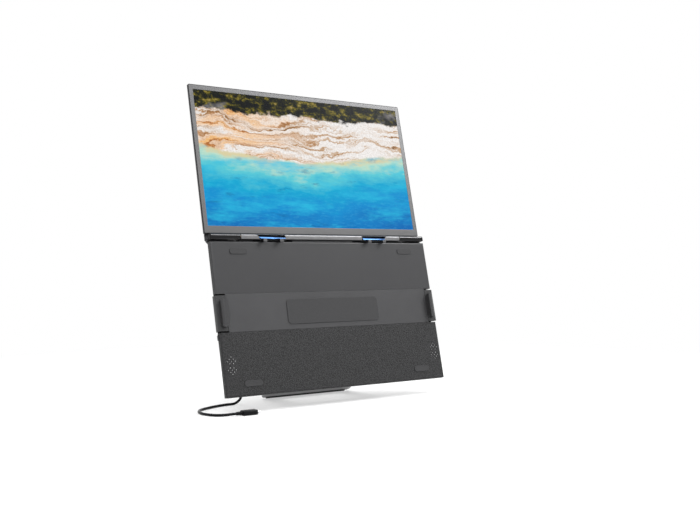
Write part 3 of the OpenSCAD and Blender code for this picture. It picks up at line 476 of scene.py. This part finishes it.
# blackened steel
leafBlack = mouldedPlastic("leafBlack", (0.012, 0.012, 0.013), 0.4, depth=0.003, sheen=0.4)
springWire = brushedMetal("springWire", (0.5, 0.5, 0.51), 0.24, along=(1, 1, 1))
bronzeRing = brushedMetal("bronzeRing", (0.5, 0.36, 0.18), 0.3, along=(1, 1, 1))
boardGreen = circuitBoard("boardGreen", (0.01, 0.09, 0.045), boardSettings)
innerBlack = mouldedPlastic("innerBlack", (0.014, 0.014, 0.015), 0.6)
buttonBlack = mouldedPlastic("buttonBlack", (0.022, 0.022, 0.024), 0.38, depth=0.005)
# the cloth's pale colour is a painted highlight in the speaker holes
speakerClothPaintedHighlight = wovenCloth("speakerClothPaintedHighlight", (0.78, 0.78, 0.79), clothSettings)
plugBlack = glossFinish("plugBlack", (0.004, 0.004, 0.005), 0.36, sheen=0.1)
plugSilver = brushedMetal("plugSilver", (0.62, 0.62, 0.63), 0.22, along=(1, 1, 1))
cordBlack = glossFinish("cordBlack", (0.003, 0.003, 0.004), 0.26, sheen=0.12)
print("finishes made")


# the picture on the display: hills, sand and a bay, all made of noise
pictureSettings = {
    "width": 344.2,
    "height": 193.6,
    "low": 121.7,  # height of its lower edge along the lid
    "shore": 0.56,  # shares of the picture's height
    "hills": 0.86,
    "bay": {"turn": 5.2, "start": 2.4, "reach": 0.05},
    "shoreRagged": 0.10,
    "hillsRagged": 0.20,
    "shallows": 0.36,
    "drift": 0.5,
    "gritShare": 0.35,
    "brightness": 1.0,
    "glass": (0.004, 0.004, 0.005),
    "glassRoughness": 0.25,
    "glassSheen": 0.06,
    "noises": {  # repeats across and up, detail, roughness, seed
        "shore": (9, 3, 6.0, 0.6, 3.0),
        "shallows": (6, 8, 6.0, 0.6, 8.0),
        "ripples": (38, 60, 4, 0.6, 11.0),
        "swell": (4, 9, 6, 0.66, 14.0),
        "weed": (7, 15, 5, 0.6, 17.0),
        "drift": (3, 3, 6.0, 0.6, 21.0),
        "bands": (3.2, 30, 7, 0.62, 24.0),
        "ochre": (2.4, 12, 6, 0.6, 27.0),
        "grit": (120, 90, 2, 0.6, 29.0),
        "leaves": (26, 20, 7, 0.68, 31.0),
        "hills": (11, 9, 5, 0.6, 37.0),
        "mist": (3.5, 4, 4, 0.6, 41.0),
    },
    "spans": {  # share at the start and at the end, and where these are
        "ripples": (0.0, 0.22, 0.50, 0.80),
        "swell": (0.0, 0.75, 0.48, 0.68),
        "weed": (0.0, 0.6, 0.60, 0.72),
        "ochre": (0.0, 0.9, 0.44, 0.62),
        "ochreSide": (1.0, 0.0, 0.15, 0.62),
        "hills": (0.0, 1.0, -0.008, 0.012),
        "mist": (0.0, 0.6, 0.62, 0.80),
        "shore": (0.0, 1.0, -0.006, 0.012),
    },
    "ramps": {
        "water": [
            (0.00, (0.70, 0.62, 0.36)), (0.05, (0.48, 0.72, 0.58)), (0.13, (0.10, 0.58, 0.66)),
            (0.24, (0.0, 0.38, 0.64)), (0.38, (0.0, 0.26, 0.62)), (0.60, (0.0, 0.14, 0.46)),
        ],
        "sand": [
            (0.30, (0.16, 0.08, 0.03)), (0.37, (0.48, 0.24, 0.09)), (0.42, (0.66, 0.46, 0.30)),
            (0.47, (0.86, 0.76, 0.68)), (0.54, (0.98, 0.95, 0.93)),
        ],
        "grit": [(0.3, (0.25, 0.2, 0.15)), (0.7, (1.0, 1.0, 1.0))],
        "leaves": [
            (0.43, (0.001, 0.002, 0.001)), (0.50, (0.010, 0.012, 0.002)),
            (0.56, (0.085, 0.072, 0.003)), (0.62, (0.26, 0.20, 0.02)), (0.70, (0.42, 0.28, 0.18)),
        ],
    },
    "colors": {
        "ripples": (0.10, 0.60, 0.75),
        "swell": (0.02, 0.52, 0.76),
        "weed": (0.0, 0.10, 0.28),
        "ochre": (1.0, 0.55, 0.16),
        "mist": (0.74, 0.70, 0.74),
    },
}


def displayPicture(s):
    material = newMaterial("displayPicture")
    colors = s["colors"]

    def value(kind, *items):
        return compute(material, kind, *items)

    def share(axis, low, size):
        # 0 to 1 from one edge of the display to the other
        reach = reachAlong(material, axis)
        return numberSpan(material, reach, 0.0, 1.0, low * mm, (low + size) * mm)

    def noise(name, x, y):
        xScale, yScale, detail, rough, seed = s["noises"][name]
        spot = addNode(material, "ShaderNodeCombineXYZ")
        connect(material, value("MULTIPLY", x, xScale), spot.inputs["X"])
        connect(material, value("MULTIPLY", y, yScale), spot.inputs["Y"])
        spot.inputs["Z"].default_value = seed
        return noiseFrom(material, spot.outputs["Vector"], detail, rough)

    def spread(factor, size, middle=0.0):
        # a noise made size wide around a middle
        return value("MULTIPLY_ADD", factor, size, middle - size / 2)

    def span(name, factor):
        return numberSpan(material, factor, *s["spans"][name])

    def ramp(name, factor):
        return colorSpan(material, factor, s["ramps"][name])

    def mix(factor, first, second, kind="MIX"):
        return mixColors(material, factor, first, second, kind)

    across = share((1, 0, 0), -s["width"] / 2, s["width"])
    up = share(tuple(leanUp), s["low"], s["height"])

    # the shore swings in a wide bay and is ragged at small scale
    bay = s["bay"]
    swing = value("SINE", value("MULTIPLY_ADD", across, bay["turn"], bay["start"]))
    ragged = spread(noise("shore", across, up), s["shoreRagged"])
    shore = value("ADD", value("ADD", value("MULTIPLY", swing, bay["reach"]), ragged), s["shore"])
    depth = value("SUBTRACT", shore, up)

    # water: pale at the edge, then turquoise, then blue, with ripples and darker weed
    shallows = spread(noise("shallows", across, up), s["shallows"])
    water = ramp("water", value("ADD", depth, shallows))
    ripples = span("ripples", noise("ripples", across, up))
    water = mix(ripples, water, colors["ripples"], "SCREEN")
    water = mix(span("swell", noise("swell", across, up)), water, colors["swell"])
    water = mix(span("weed", noise("weed", across, up)), water, colors["weed"])

    # sand and mineral bands, long and thin
    drift = value("MULTIPLY_ADD", noise("drift", across, up), s["drift"], up)
    sand = ramp("sand", noise("bands", across, drift))
    ochre = span("ochre", noise("ochre", across, drift))
    warm = value("MULTIPLY", ochre, span("ochreSide", across))
    sand = mix(warm, sand, colors["ochre"], "MULTIPLY")
    sand = mix(s["gritShare"], sand, ramp("grit", noise("grit", across, up)), "MULTIPLY")

    # dark shrubs on the hills behind, with a ragged foot
    hills = ramp("leaves", noise("leaves", across, up))
    hillFoot = spread(noise("hills", across, up), s["hillsRagged"], s["hills"])

    land = mix(span("hills", value("SUBTRACT", up, hillFoot)), sand, hills)
    land = mix(span("mist", noise("mist", across, up)), land, colors["mist"])
    setShader(material, {
        "Emission Color": mix(span("shore", depth), land, water),
        "Emission Strength": s["brightness"],
        "Base Color": s["glass"],
        "Roughness": s["glassRoughness"],
        "Specular IOR Level": s["glassSheen"],
    })
    return material


litPicture = displayPicture(pictureSettings)
print("picture made")


# the lead and its two plugs
leadSettings = {
    "diameter": 3.6,
    "tableLift": 0.1,
    "gap": 0.3,
    "firstStraight": 6,
    "lastStraight": 5,
    "steps": 4,  # points of the curve between two of the route
    "bodyPlug": (-122.0, 12.3, -84.6),  # socket face in the lid's plane
    "laptopPlug": (-143.0, -36.0, -123.5),  # socket face on the table
    "plugLength": 20.0,
    "plugWidth": 12.0,
    "plugThick": 6.4,
    "plugCorner": 2.4,
    "plugEdge": 0.7,
    "plugSharp": math.radians(35),
    "reliefLength": 8.0,
    "reliefStep": 0.5,
    "reliefWall": 0.4,
    "reliefSides": 40,
    "reliefCuts": 16,
    "groove": 0.84,
    "tipWidth": 8.3,
    "tipThick": 2.4,
    "tipLength": 6.4,
    "tipRoot": 0.2,
    "tipCorner": 1.15,
    "tipWall": 0.35,
    "tipHollow": 4.5,
}


def cordRoute(s):
    # the same points as the CAD cord follows, in mm
    lie = tableZ / mm + s["diameter"] / 2 + s["tableLift"]
    x, depth, height = s["bodyPlug"]
    out = depth + s["plugLength"] + s["reliefLength"]
    exitPoint = leanPoint(x, out + s["gap"], height) / mm
    second = leanPoint(x, out + s["firstStraight"], height) / mm
    px, py, pz = s["laptopPlug"]
    reliefEnd = px - s["plugLength"] - s["reliefLength"]
    return [
        tuple(exitPoint), tuple(second),
        (-121.5, 33, -97), (-121, 40, -104), (-121, 45, -113), (-124, 48, -121),
        (-131, 49, lie), (-141, 47.5, lie), (-151, 45.5, lie), (-161, 42.5, lie),
        (-172, 37.5, lie), (-184, 31, lie), (-193, 24, lie), (-199, 14, lie),
        (-201.5, 4, lie), (-201, -6, lie), (-197.5, -16, lie),
        (-191.5, -24.5, lie), (-184, -31.5, lie + 0.6),
        (reliefEnd - s["lastStraight"], py, pz), (reliefEnd - s["gap"], py, pz),
    ]


def smoothRoute(points, steps):
    # a smooth curve through all the points
    points = [Vector(p) * mm for p in points]
    last = len(points) - 1
    line = []
    for i in range(last):
        a, b, c, d = points[max(i - 1, 0)], points[i], points[i + 1], points[min(i + 2, last)]
        for j in range(steps):
            t = j / steps
            square = (2 * a - 5 * b + 4 * c - d) * t * t
            cube = (3 * b - 3 * c + d - a) * t ** 3
            line.append(0.5 * (2 * b + (c - a) * t + square + cube))
    return line + [points[last]]


def addCord(s):
    line = smoothRoute(cordRoute(s), s["steps"])
    curve = bpy.data.curves.new("leadCord", "CURVE")
    curve.dimensions = "3D"
    curve.bevel_depth = s["diameter"] / 2 * mm
    curve.bevel_resolution = 5
    curve.use_fill_caps = True
    spline = curve.splines.new("POLY")
    spline.points.add(len(line) - 1)
    for point, spot in zip(spline.points, line):
        point.co = (*spot, 1)
    spline.use_smooth = True
    piece = bpy.data.objects.new("leadCord", curve)
    bpy.context.collection.objects.link(piece)
    dress(piece, cordBlack)
    length = sum((b - a).length for a, b in zip(line, line[1:]))
    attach(piece, "body")
    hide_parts("cord")
    return piece, line[0], length


leadCord, cordExit, cordLength = addCord(leadSettings)
print("cord laid, mm:", round(cordLength / mm, 1))


def roundSlab(width, thick, low, high, corner, steps=5):
    # a bar of rounded section along Y, grown from a cube by bevelling its long edges
    deselectAll()
    bpy.ops.mesh.primitive_cube_add(size=1, location=(0, (low + high) / 2 * mm, 0))
    piece = bpy.context.object
    piece.scale = (width * mm, (high - low) * mm, thick * mm)
    applyPlace()
    openMesh("DESELECT")
    closeMesh()
    for edge in piece.data.edges:
        a, b = (piece.data.vertices[i].co for i in edge.vertices)
        edge.select = abs(a.y - b.y) > 0.01 * mm
    openMesh()
    bpy.ops.mesh.select_mode(type="EDGE")
    bpy.ops.mesh.bevel(offset=corner * mm, segments=steps, affect="EDGES")
    closeMesh()
    return piece


def ribbedRelief(s):
    # a cylinder cut into rings, which taper and have grooves between ribs
    start, end = s["plugThick"] / 2 - s["reliefStep"], s["diameter"] / 2 + s["reliefWall"]
    middle = s["plugLength"] + s["reliefLength"] / 2
    deselectAll()
    bpy.ops.mesh.primitive_cylinder_add(
        vertices=s["reliefSides"], radius=start * mm, depth=s["reliefLength"] * mm,
        location=(0, middle * mm, 0), rotation=(math.pi / 2, 0, 0))
    piece = bpy.context.object
    applyPlace()
    openMesh()
    cuts = s["reliefCuts"]
    for i in range(1, cuts):
        cut = s["plugLength"] + s["reliefLength"] * i / cuts
        bpy.ops.mesh.select_all(action="SELECT")
        bpy.ops.mesh.bisect(plane_co=(0, cut * mm, 0), plane_no=(0, 1, 0))
    closeMesh()
    for vertex in piece.data.vertices:
        t = (vertex.co.y / mm - s["plugLength"]) / s["reliefLength"]
        ring = int(round(t * cuts))
        grooved = ring % 4 in (2, 3) and 0 < ring < cuts - 1
        k = (start + (end - start) * t) / start * (s["groove"] if grooved else 1.0)
        vertex.co.x *= k
        vertex.co.z *= k
    return piece


def addPlug(name, s, turn, place):
    body = roundSlab(s["plugWidth"], s["plugThick"], 0, s["plugLength"], s["plugCorner"])
    for face in body.data.polygons:
        face.select = abs(face.normal.y) > endFacing
    openMesh()
    bpy.ops.mesh.select_mode(type="FACE")
    bpy.ops.mesh.bevel(offset=s["plugEdge"] * mm, segments=3, affect="EDGES")
    closeMesh()
    dress(body, plugBlack)
    relief = ribbedRelief(s)
    dress(relief, plugBlack)
    tip = roundSlab(s["tipWidth"], s["tipThick"], -s["tipLength"], s["tipRoot"], s["tipCorner"])
    for face in tip.data.polygons:
        face.select = face.normal.y < -endFacing
    openMesh()
    bpy.ops.mesh.select_mode(type="FACE")
    bpy.ops.mesh.inset(thickness=s["tipWall"] * mm)
    bpy.ops.transform.translate(value=(0, s["tipHollow"] * mm, 0))
    closeMesh()
    dress(tip, plugSilver)
    deselectAll()
    for part in (body, relief, tip):
        part.select_set(True)
    bpy.context.view_layer.objects.active = body
    bpy.ops.object.join()
    body.name = body.data.name = name
    body.matrix_world = Matrix.Translation(place) @ turn
    applyPlace()
    smoothFaces(body, s["plugSharp"])
    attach(body, "body")
    return body


bodySidePlug = addPlug("bodySidePlug", leadSettings, Matrix.Rotation(-leanAngle, 4, "X"),
                       leanPoint(*leadSettings["bodyPlug"]))
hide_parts("body_plug")
laptopSidePlug = addPlug("laptopSidePlug", leadSettings, Matrix.Rotation(math.pi / 2, 4, "Z"),
                         Vector(leadSettings["laptopPlug"]) * mm)
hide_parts("laptop_plug")
print("plugs made")


# rounded copies of the CAD pieces that show
edgeSettings = {  # node: (edge radius in mm, finish)
    "rear_housing": (0.25, shellBlack),
    "upper_front_panel": (0.2, panelPaint),
    "middle_front_panel": (0.25, middleBlack),
    "lower_front_panel": (0.12, grainedBlack),
    "lid_seat_pad": (0.25, padRubber),
    "lid_corner_pads": (0.25, padRubber),
    "side_button": (0.3, buttonBlack),
    "left_clamp_arm": (0.5, clampSatin),
    "right_clamp_arm": (0.5, clampSatin),
    "left_finger_cap": (0.55, fingerSatin),
    "right_finger_cap": (0.55, fingerSatin),
    "left_jaw_pad": (0.1, padRubber),
    "right_jaw_pad": (0.1, padRubber),
    "hinge_bar": (0.25, barAluminium),
    "left_knuckle_cover": (0.2, knuckleDark),
    "right_knuckle_cover": (0.2, knuckleDark),
    "bar_end_caps": (0.2, capBlack),
    "left_hook": (0.15, innerBlack),
    "right_hook": (0.15, innerBlack),
    "left_hook_claws": (0.2, clawSteel),
    "right_hook_claws": (0.2, clawSteel),
    "monitor_frame": (0.3, frameGrey),
    "monitor_back_cover": (0.3, backAluminium),
    "kickstand": (0.4, standAluminium),
    "kickstand_foot": (0.5, footRubber),
    "left_hinge_bracket": (0.2, leafBlack),
    "right_hinge_bracket": (0.2, leafBlack),
    "left_moving_leaf": (0.2, leafBlack),
    "right_moving_leaf": (0.2, leafBlack),
}
slantSettings = {
    # how far the top of each leans back
    "nodes": {"hinge_bar": 0.9, "left_knuckle_cover": 1.4, "right_knuckle_cover": 1.4},
    "front": -0.8,  # depth of the bar's face
    "near": 0.3,
    "high": 107.7,
    "start": 105.3,  # height at which the face starts to lean back
    "sharp": math.radians(22),  # so that the slanted top keeps its own facet
    # painted shade on faces turned down past this, painted highlight on faces turned up and
    # forward past the next two
    "paintedShadeUnderside": -0.5,
    "paintedHighlightRise": 0.25,
    "paintedHighlightForward": 0.6,
}
ledgeSettings = {
    "side": 177.5, "near": 0.05, "low": 93.5, "high": 99.0,
    "lifts": ((14.0, 99.6), (11.4, 98.3)),  # beyond this depth, up to this height
}
clawSettings = {
    "nodes": {"left_hook_claws": -1, "right_hook_claws": 1},
    "middle": 86.3,
    "narrow": 0.74,
}
copySettings = {"merge": 0.002, "flat": math.radians(0.5), "segments": 3, "flatWeight": 90}


def slantTop(piece, back, s):
    # the top of the bar's face leans back, so that it catches the light from above
    openMesh("SELECT")
    bpy.ops.mesh.bisect(plane_co=leanUp * s["start"] * mm, plane_no=leanUp)
    closeMesh()
    for vertex in piece.data.vertices:
        depth, height = leanPlace(vertex)
        if abs(depth - s["front"]) < s["near"] and height > s["start"]:
            vertex.co += leanBack * back * mm * (height - s["start"]) / (s["high"] - s["start"])


def paintSlantLightAndShade(piece, s):
    # painted shade makes the undersides matt and black, and a painted highlight in the bar's light
    # metal runs as one strip along the top of the whole bar
    piece.data.materials.append(innerBlack)
    piece.data.materials.append(barAluminium)
    for face in piece.data.polygons:
        rise, forward = face.normal.dot(leanUp), -face.normal.dot(leanBack)
        if rise < s["paintedShadeUnderside"]:
            face.material_index = 1
        elif rise > s["paintedHighlightRise"] and forward > s["paintedHighlightForward"]:
            face.material_index = 2


def liftLedgeEnds(piece, s):
    # at its two ends the rear ledge is only a thin foot
    for vertex in piece.data.vertices:
        depth, height = leanPlace(vertex)
        atEnd = abs(abs(vertex.co.x / mm) - s["side"]) <= s["near"]
        if not atEnd or not s["low"] < height < s["high"]:
            continue
        for limit, lifted in s["lifts"]:
            if depth > limit:
                vertex.co += leanUp * (lifted - height) * mm
                break


def narrowClaws(piece, side, s):
    # each claw keeps its place and loses width
    places = [vertex.co.x * side / mm - s["middle"] for vertex in piece.data.vertices]
    for sign in (-1, 1):
        mine = [p for p in places if p * sign > 0]
        centre = (min(mine) + max(mine)) / 2
        for vertex, p in zip(piece.data.vertices, places):
            if p * sign > 0:
                vertex.co.x = side * (s["middle"] + centre + (p - centre) * s["narrow"]) * mm


def roundedCopy(nodeName, radius, material, s):
    slanted = nodeName in slantSettings["nodes"]
    piece = bpy.data.objects.new(nodeName + "_rounded", nodes[nodeName].data.copy())
    bpy.context.collection.objects.link(piece)
    dress(piece, material)
    makeActive(piece)
    openMesh("SELECT")
    bpy.ops.mesh.remove_doubles(threshold=s["merge"] * mm)
    bpy.ops.mesh.dissolve_limited(angle_limit=s["flat"])
    closeMesh()
    if slanted:
        slantTop(piece, slantSettings["nodes"][nodeName], slantSettings)
    if nodeName == "rear_housing":
        liftLedgeEnds(piece, ledgeSettings)
    if nodeName in clawSettings["nodes"]:
        narrowClaws(piece, clawSettings["nodes"][nodeName], clawSettings)
    bevel = piece.modifiers.new("edges", "BEVEL")
    bevel.width = radius * mm
    bevel.segments = s["segments"]
    bevel.limit_method = "ANGLE"
    bevel.angle_limit = sharpAngle
    bevel.use_clamp_overlap = True
    bpy.ops.object.modifier_apply(modifier="edges")
    smoothFaces(piece, slantSettings["sharp"] if slanted else sharpAngle)
    weighted = piece.modifiers.new("flats", "WEIGHTED_NORMAL")
    weighted.keep_sharp = True
    weighted.weight = s["flatWeight"]
    bpy.ops.object.modifier_apply(modifier="flats")
    # painted shade and painted highlight on the bar and the knuckle covers
    if slanted:
        paintSlantLightAndShade(piece, slantSettings)
    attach(piece, bodyOfNode[nodeName])
    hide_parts(nodeName)


for nodeName, (radius, material) in edgeSettings.items():
    roundedCopy(nodeName, radius, material, copySettings)
print("edges rounded")


hookPlateSettings = {
    "low": (-3.1, 100.9),  # front end of the plate's upper face
    "slope": math.radians(47.5),
    "thick": 0.5,
    "edge": 0.15,
    "length": 4.8,
    "middle": 86.3,
    "inner": 21.4,  # how far it reaches towards the middle and outwards
    "outer": 16.7,
    "slant": 3.0,  # the outer side slants out towards the top
}


def addHookPlate(name, body, side, s):
    # the polished plate that slopes from the recess down over the claws
    deselectAll()
    bpy.ops.mesh.primitive_cube_add(size=1)
    piece = bpy.context.object
    piece.name = piece.data.name = name
    piece.scale = ((s["inner"] + s["outer"]) * mm, s["length"] * mm, s["thick"] * mm)
    applyPlace()
    across = (s["outer"] - s["inner"]) / 2
    for vertex in piece.data.vertices:
        vertex.co.x += across * mm
        if vertex.co.x > 0 and vertex.co.y > 0:
            vertex.co.x += s["slant"] * mm
    openMesh("SELECT")
    bpy.ops.mesh.bevel(offset=s["edge"] * mm, segments=3, affect="EDGES")
    closeMesh()
    along = leanBack * math.cos(s["slope"]) + leanUp * math.sin(s["slope"])
    normal = leanUp * math.cos(s["slope"]) - leanBack * math.sin(s["slope"])
    low = leanPoint(side * s["middle"], *s["low"])
    centre = low + along * s["length"] / 2 * mm - normal * s["thick"] / 2 * mm
    for vertex in piece.data.vertices:
        x, y, z = vertex.co
        vertex.co = centre + Vector((side * x, 0, 0)) + along * y + normal * z
    # the plate's blue is a painted reflection of the display
    dress(piece, hookPaintedBlueReflection)
    makeActive(piece)
    openMesh("SELECT")
    bpy.ops.mesh.normals_make_consistent(inside=False)
    closeMesh()
    smoothFaces(piece)
    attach(piece, body)


addHookPlate("leftHookPlate", "left_hook", -1, hookPlateSettings)
addHookPlate("rightHookPlate", "right_hook", 1, hookPlateSettings)


skirtSettings = {
    "halfLength": 176.4, "front": 17.6, "thick": 1.4, "low": 102.0, "high": 111.4,
    "corner": 0.5, "steps": 3,
}


def addRearSkirt(s):
    # strip below the monitor's back that covers the hinge from behind
    piece = roundSlab(s["high"] - s["low"], s["thick"], -s["halfLength"], s["halfLength"],
                      s["corner"], s["steps"])
    piece.name = piece.data.name = "rearSkirt"
    centre = leanPoint(0, s["front"] + s["thick"] / 2, (s["low"] + s["high"]) / 2)
    turn = Matrix((leanUp, Vector((1, 0, 0)), leanBack)).transposed().to_4x4()
    piece.matrix_world = Matrix.Translation(centre) @ turn
    applyPlace()
    dress(piece, backAluminium)
    smoothFaces(piece)
    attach(piece, "monitor")


addRearSkirt(skirtSettings)
print("hook plates and skirt made")


# CAD pieces that keep their own shape
plainFinishes = {
    "chassis_plate": leafBlack, "housing_screws": steelBare, "main_board": boardGreen,
    "port_shells": plugSilver, "button_switch": steelBare, "left_speaker": innerBlack,
    "right_speaker": innerBlack, "left_speaker_mesh": speakerClothPaintedHighlight, "right_speaker_mesh": speakerClothPaintedHighlight,
    "guide_rods": steelBare, "rod_brackets": steelBare, "spring_anchor": steelBare,
    "left_arm_spring": springWire, "right_arm_spring": springWire, "hinge_shafts": steelBare,
    "hinge_washers": bronzeRing, "hook_pins": steelBare, "hook_springs": springWire,
    "display_panel": litPicture, "backlight_unit": innerBlack, "driver_board": boardGreen,
    "kickstand_pins": steelBare,
}
for nodeName, material in plainFinishes.items():
    dress(nodes[nodeName], material)
print("inner pieces finished")


# floor, backdrop and lamps
studioSettings = {
    "world": 0.5,
    "floorSize": 3.0,
    "floorColor": (0.93, 0.93, 0.93),
    "floorRoughness": 0.8,
    "floorFade": (0.30, 0.95),
    "floorPale": 0.45,  # share of plain white mixed in near the object
    "aim": (0, 0, 0.05),
    "lamps": {
        "key": {"place": (-0.9, -1.0, 1.6), "size": 1.4, "power": 20},
        "fill": {"place": (1.3, -0.75, 1.5), "size": 1.0, "power": 26},
        "top": {"place": (0.1, 0.3, 1.9), "size": 1.8, "power": 28},
        "edge": {"place": (1.2, 0.0, 1.85), "size": 0.75, "power": 12},
    },
}


def seenOrMirrored(owner):
    # 1 for rays from the camera and for those that metal or glass send on
    path = addNode(owner, "ShaderNodeLightPath").outputs
    seen = compute(owner, "MAXIMUM", path["Is Camera Ray"], path["Is Glossy Ray"])
    return compute(owner, "MAXIMUM", seen, path["Is Transmission Ray"])


def addWorld(strength):
    world = bpy.data.worlds.new("studio")
    bpy.context.scene.world = world
    world.use_nodes = True
    world.node_tree.nodes.clear()
    mix = addNode(world, "ShaderNodeMixShader")
    connect(world, seenOrMirrored(world), mix.inputs["Fac"])
    for slot, power in ((1, strength), (2, 1.0)):  # what lights the object, and what is seen
        light = addNode(world, "ShaderNodeBackground")
        light.inputs["Color"].default_value = (1, 1, 1, 1)
        light.inputs["Strength"].default_value = power
        connect(world, light.outputs["Background"], mix.inputs[slot])
    out = addNode(world, "ShaderNodeOutputWorld")
    connect(world, mix.outputs["Shader"], out.inputs["Surface"])


def addFloor(s):
    deselectAll()
    bpy.ops.mesh.primitive_plane_add(size=s["floorSize"] * 2, location=(0, 0, tableZ))
    floor = bpy.context.object
    floor.name = "floor"
    material = newMaterial("paleFloor")
    setShader(material, {"Base Color": s["floorColor"], "Roughness": s["floorRoughness"]})
    # far from the object it fades to the white of the backdrop
    distance = addNode(material, "ShaderNodeVectorMath", operation="LENGTH")
    connect(material, placeOn(material), distance.inputs[0])
    fade = numberSpan(material, distance.outputs["Value"], s["floorPale"], 1.0, *s["floorFade"])
    seen = compute(material, "MULTIPLY", fade, seenOrMirrored(material))
    lit = material.node_tree.nodes["Principled BSDF"].outputs["BSDF"]
    white = addNode(material, "ShaderNodeEmission").outputs["Emission"]
    mix = addNode(material, "ShaderNodeMixShader")
    for slot, item in enumerate((seen, lit, white)):
        connect(material, item, mix.inputs[slot])
    output = material.node_tree.nodes["Material Output"]
    connect(material, mix.outputs["Shader"], output.inputs["Surface"])
    dress(floor, material)


def addLamp(name, s, aim):
    place = Vector(s["place"])
    bpy.ops.object.light_add(type="AREA", location=place)
    lamp = bpy.context.object
    lamp.name = name
    lamp.data.shape = "DISK"
    lamp.data.size = s["size"]
    lamp.data.energy = s["power"]
    lamp.rotation_euler = (Vector(aim) - place).to_track_quat("-Z", "Y").to_euler()


addWorld(studioSettings["world"])
addFloor(studioSettings)
for lampName, lampSettings in studioSettings["lamps"].items():
    addLamp(lampName, lampSettings, studioSettings["aim"])
bpy.context.scene.view_settings.view_transform = "Standard"
print("studio lit")
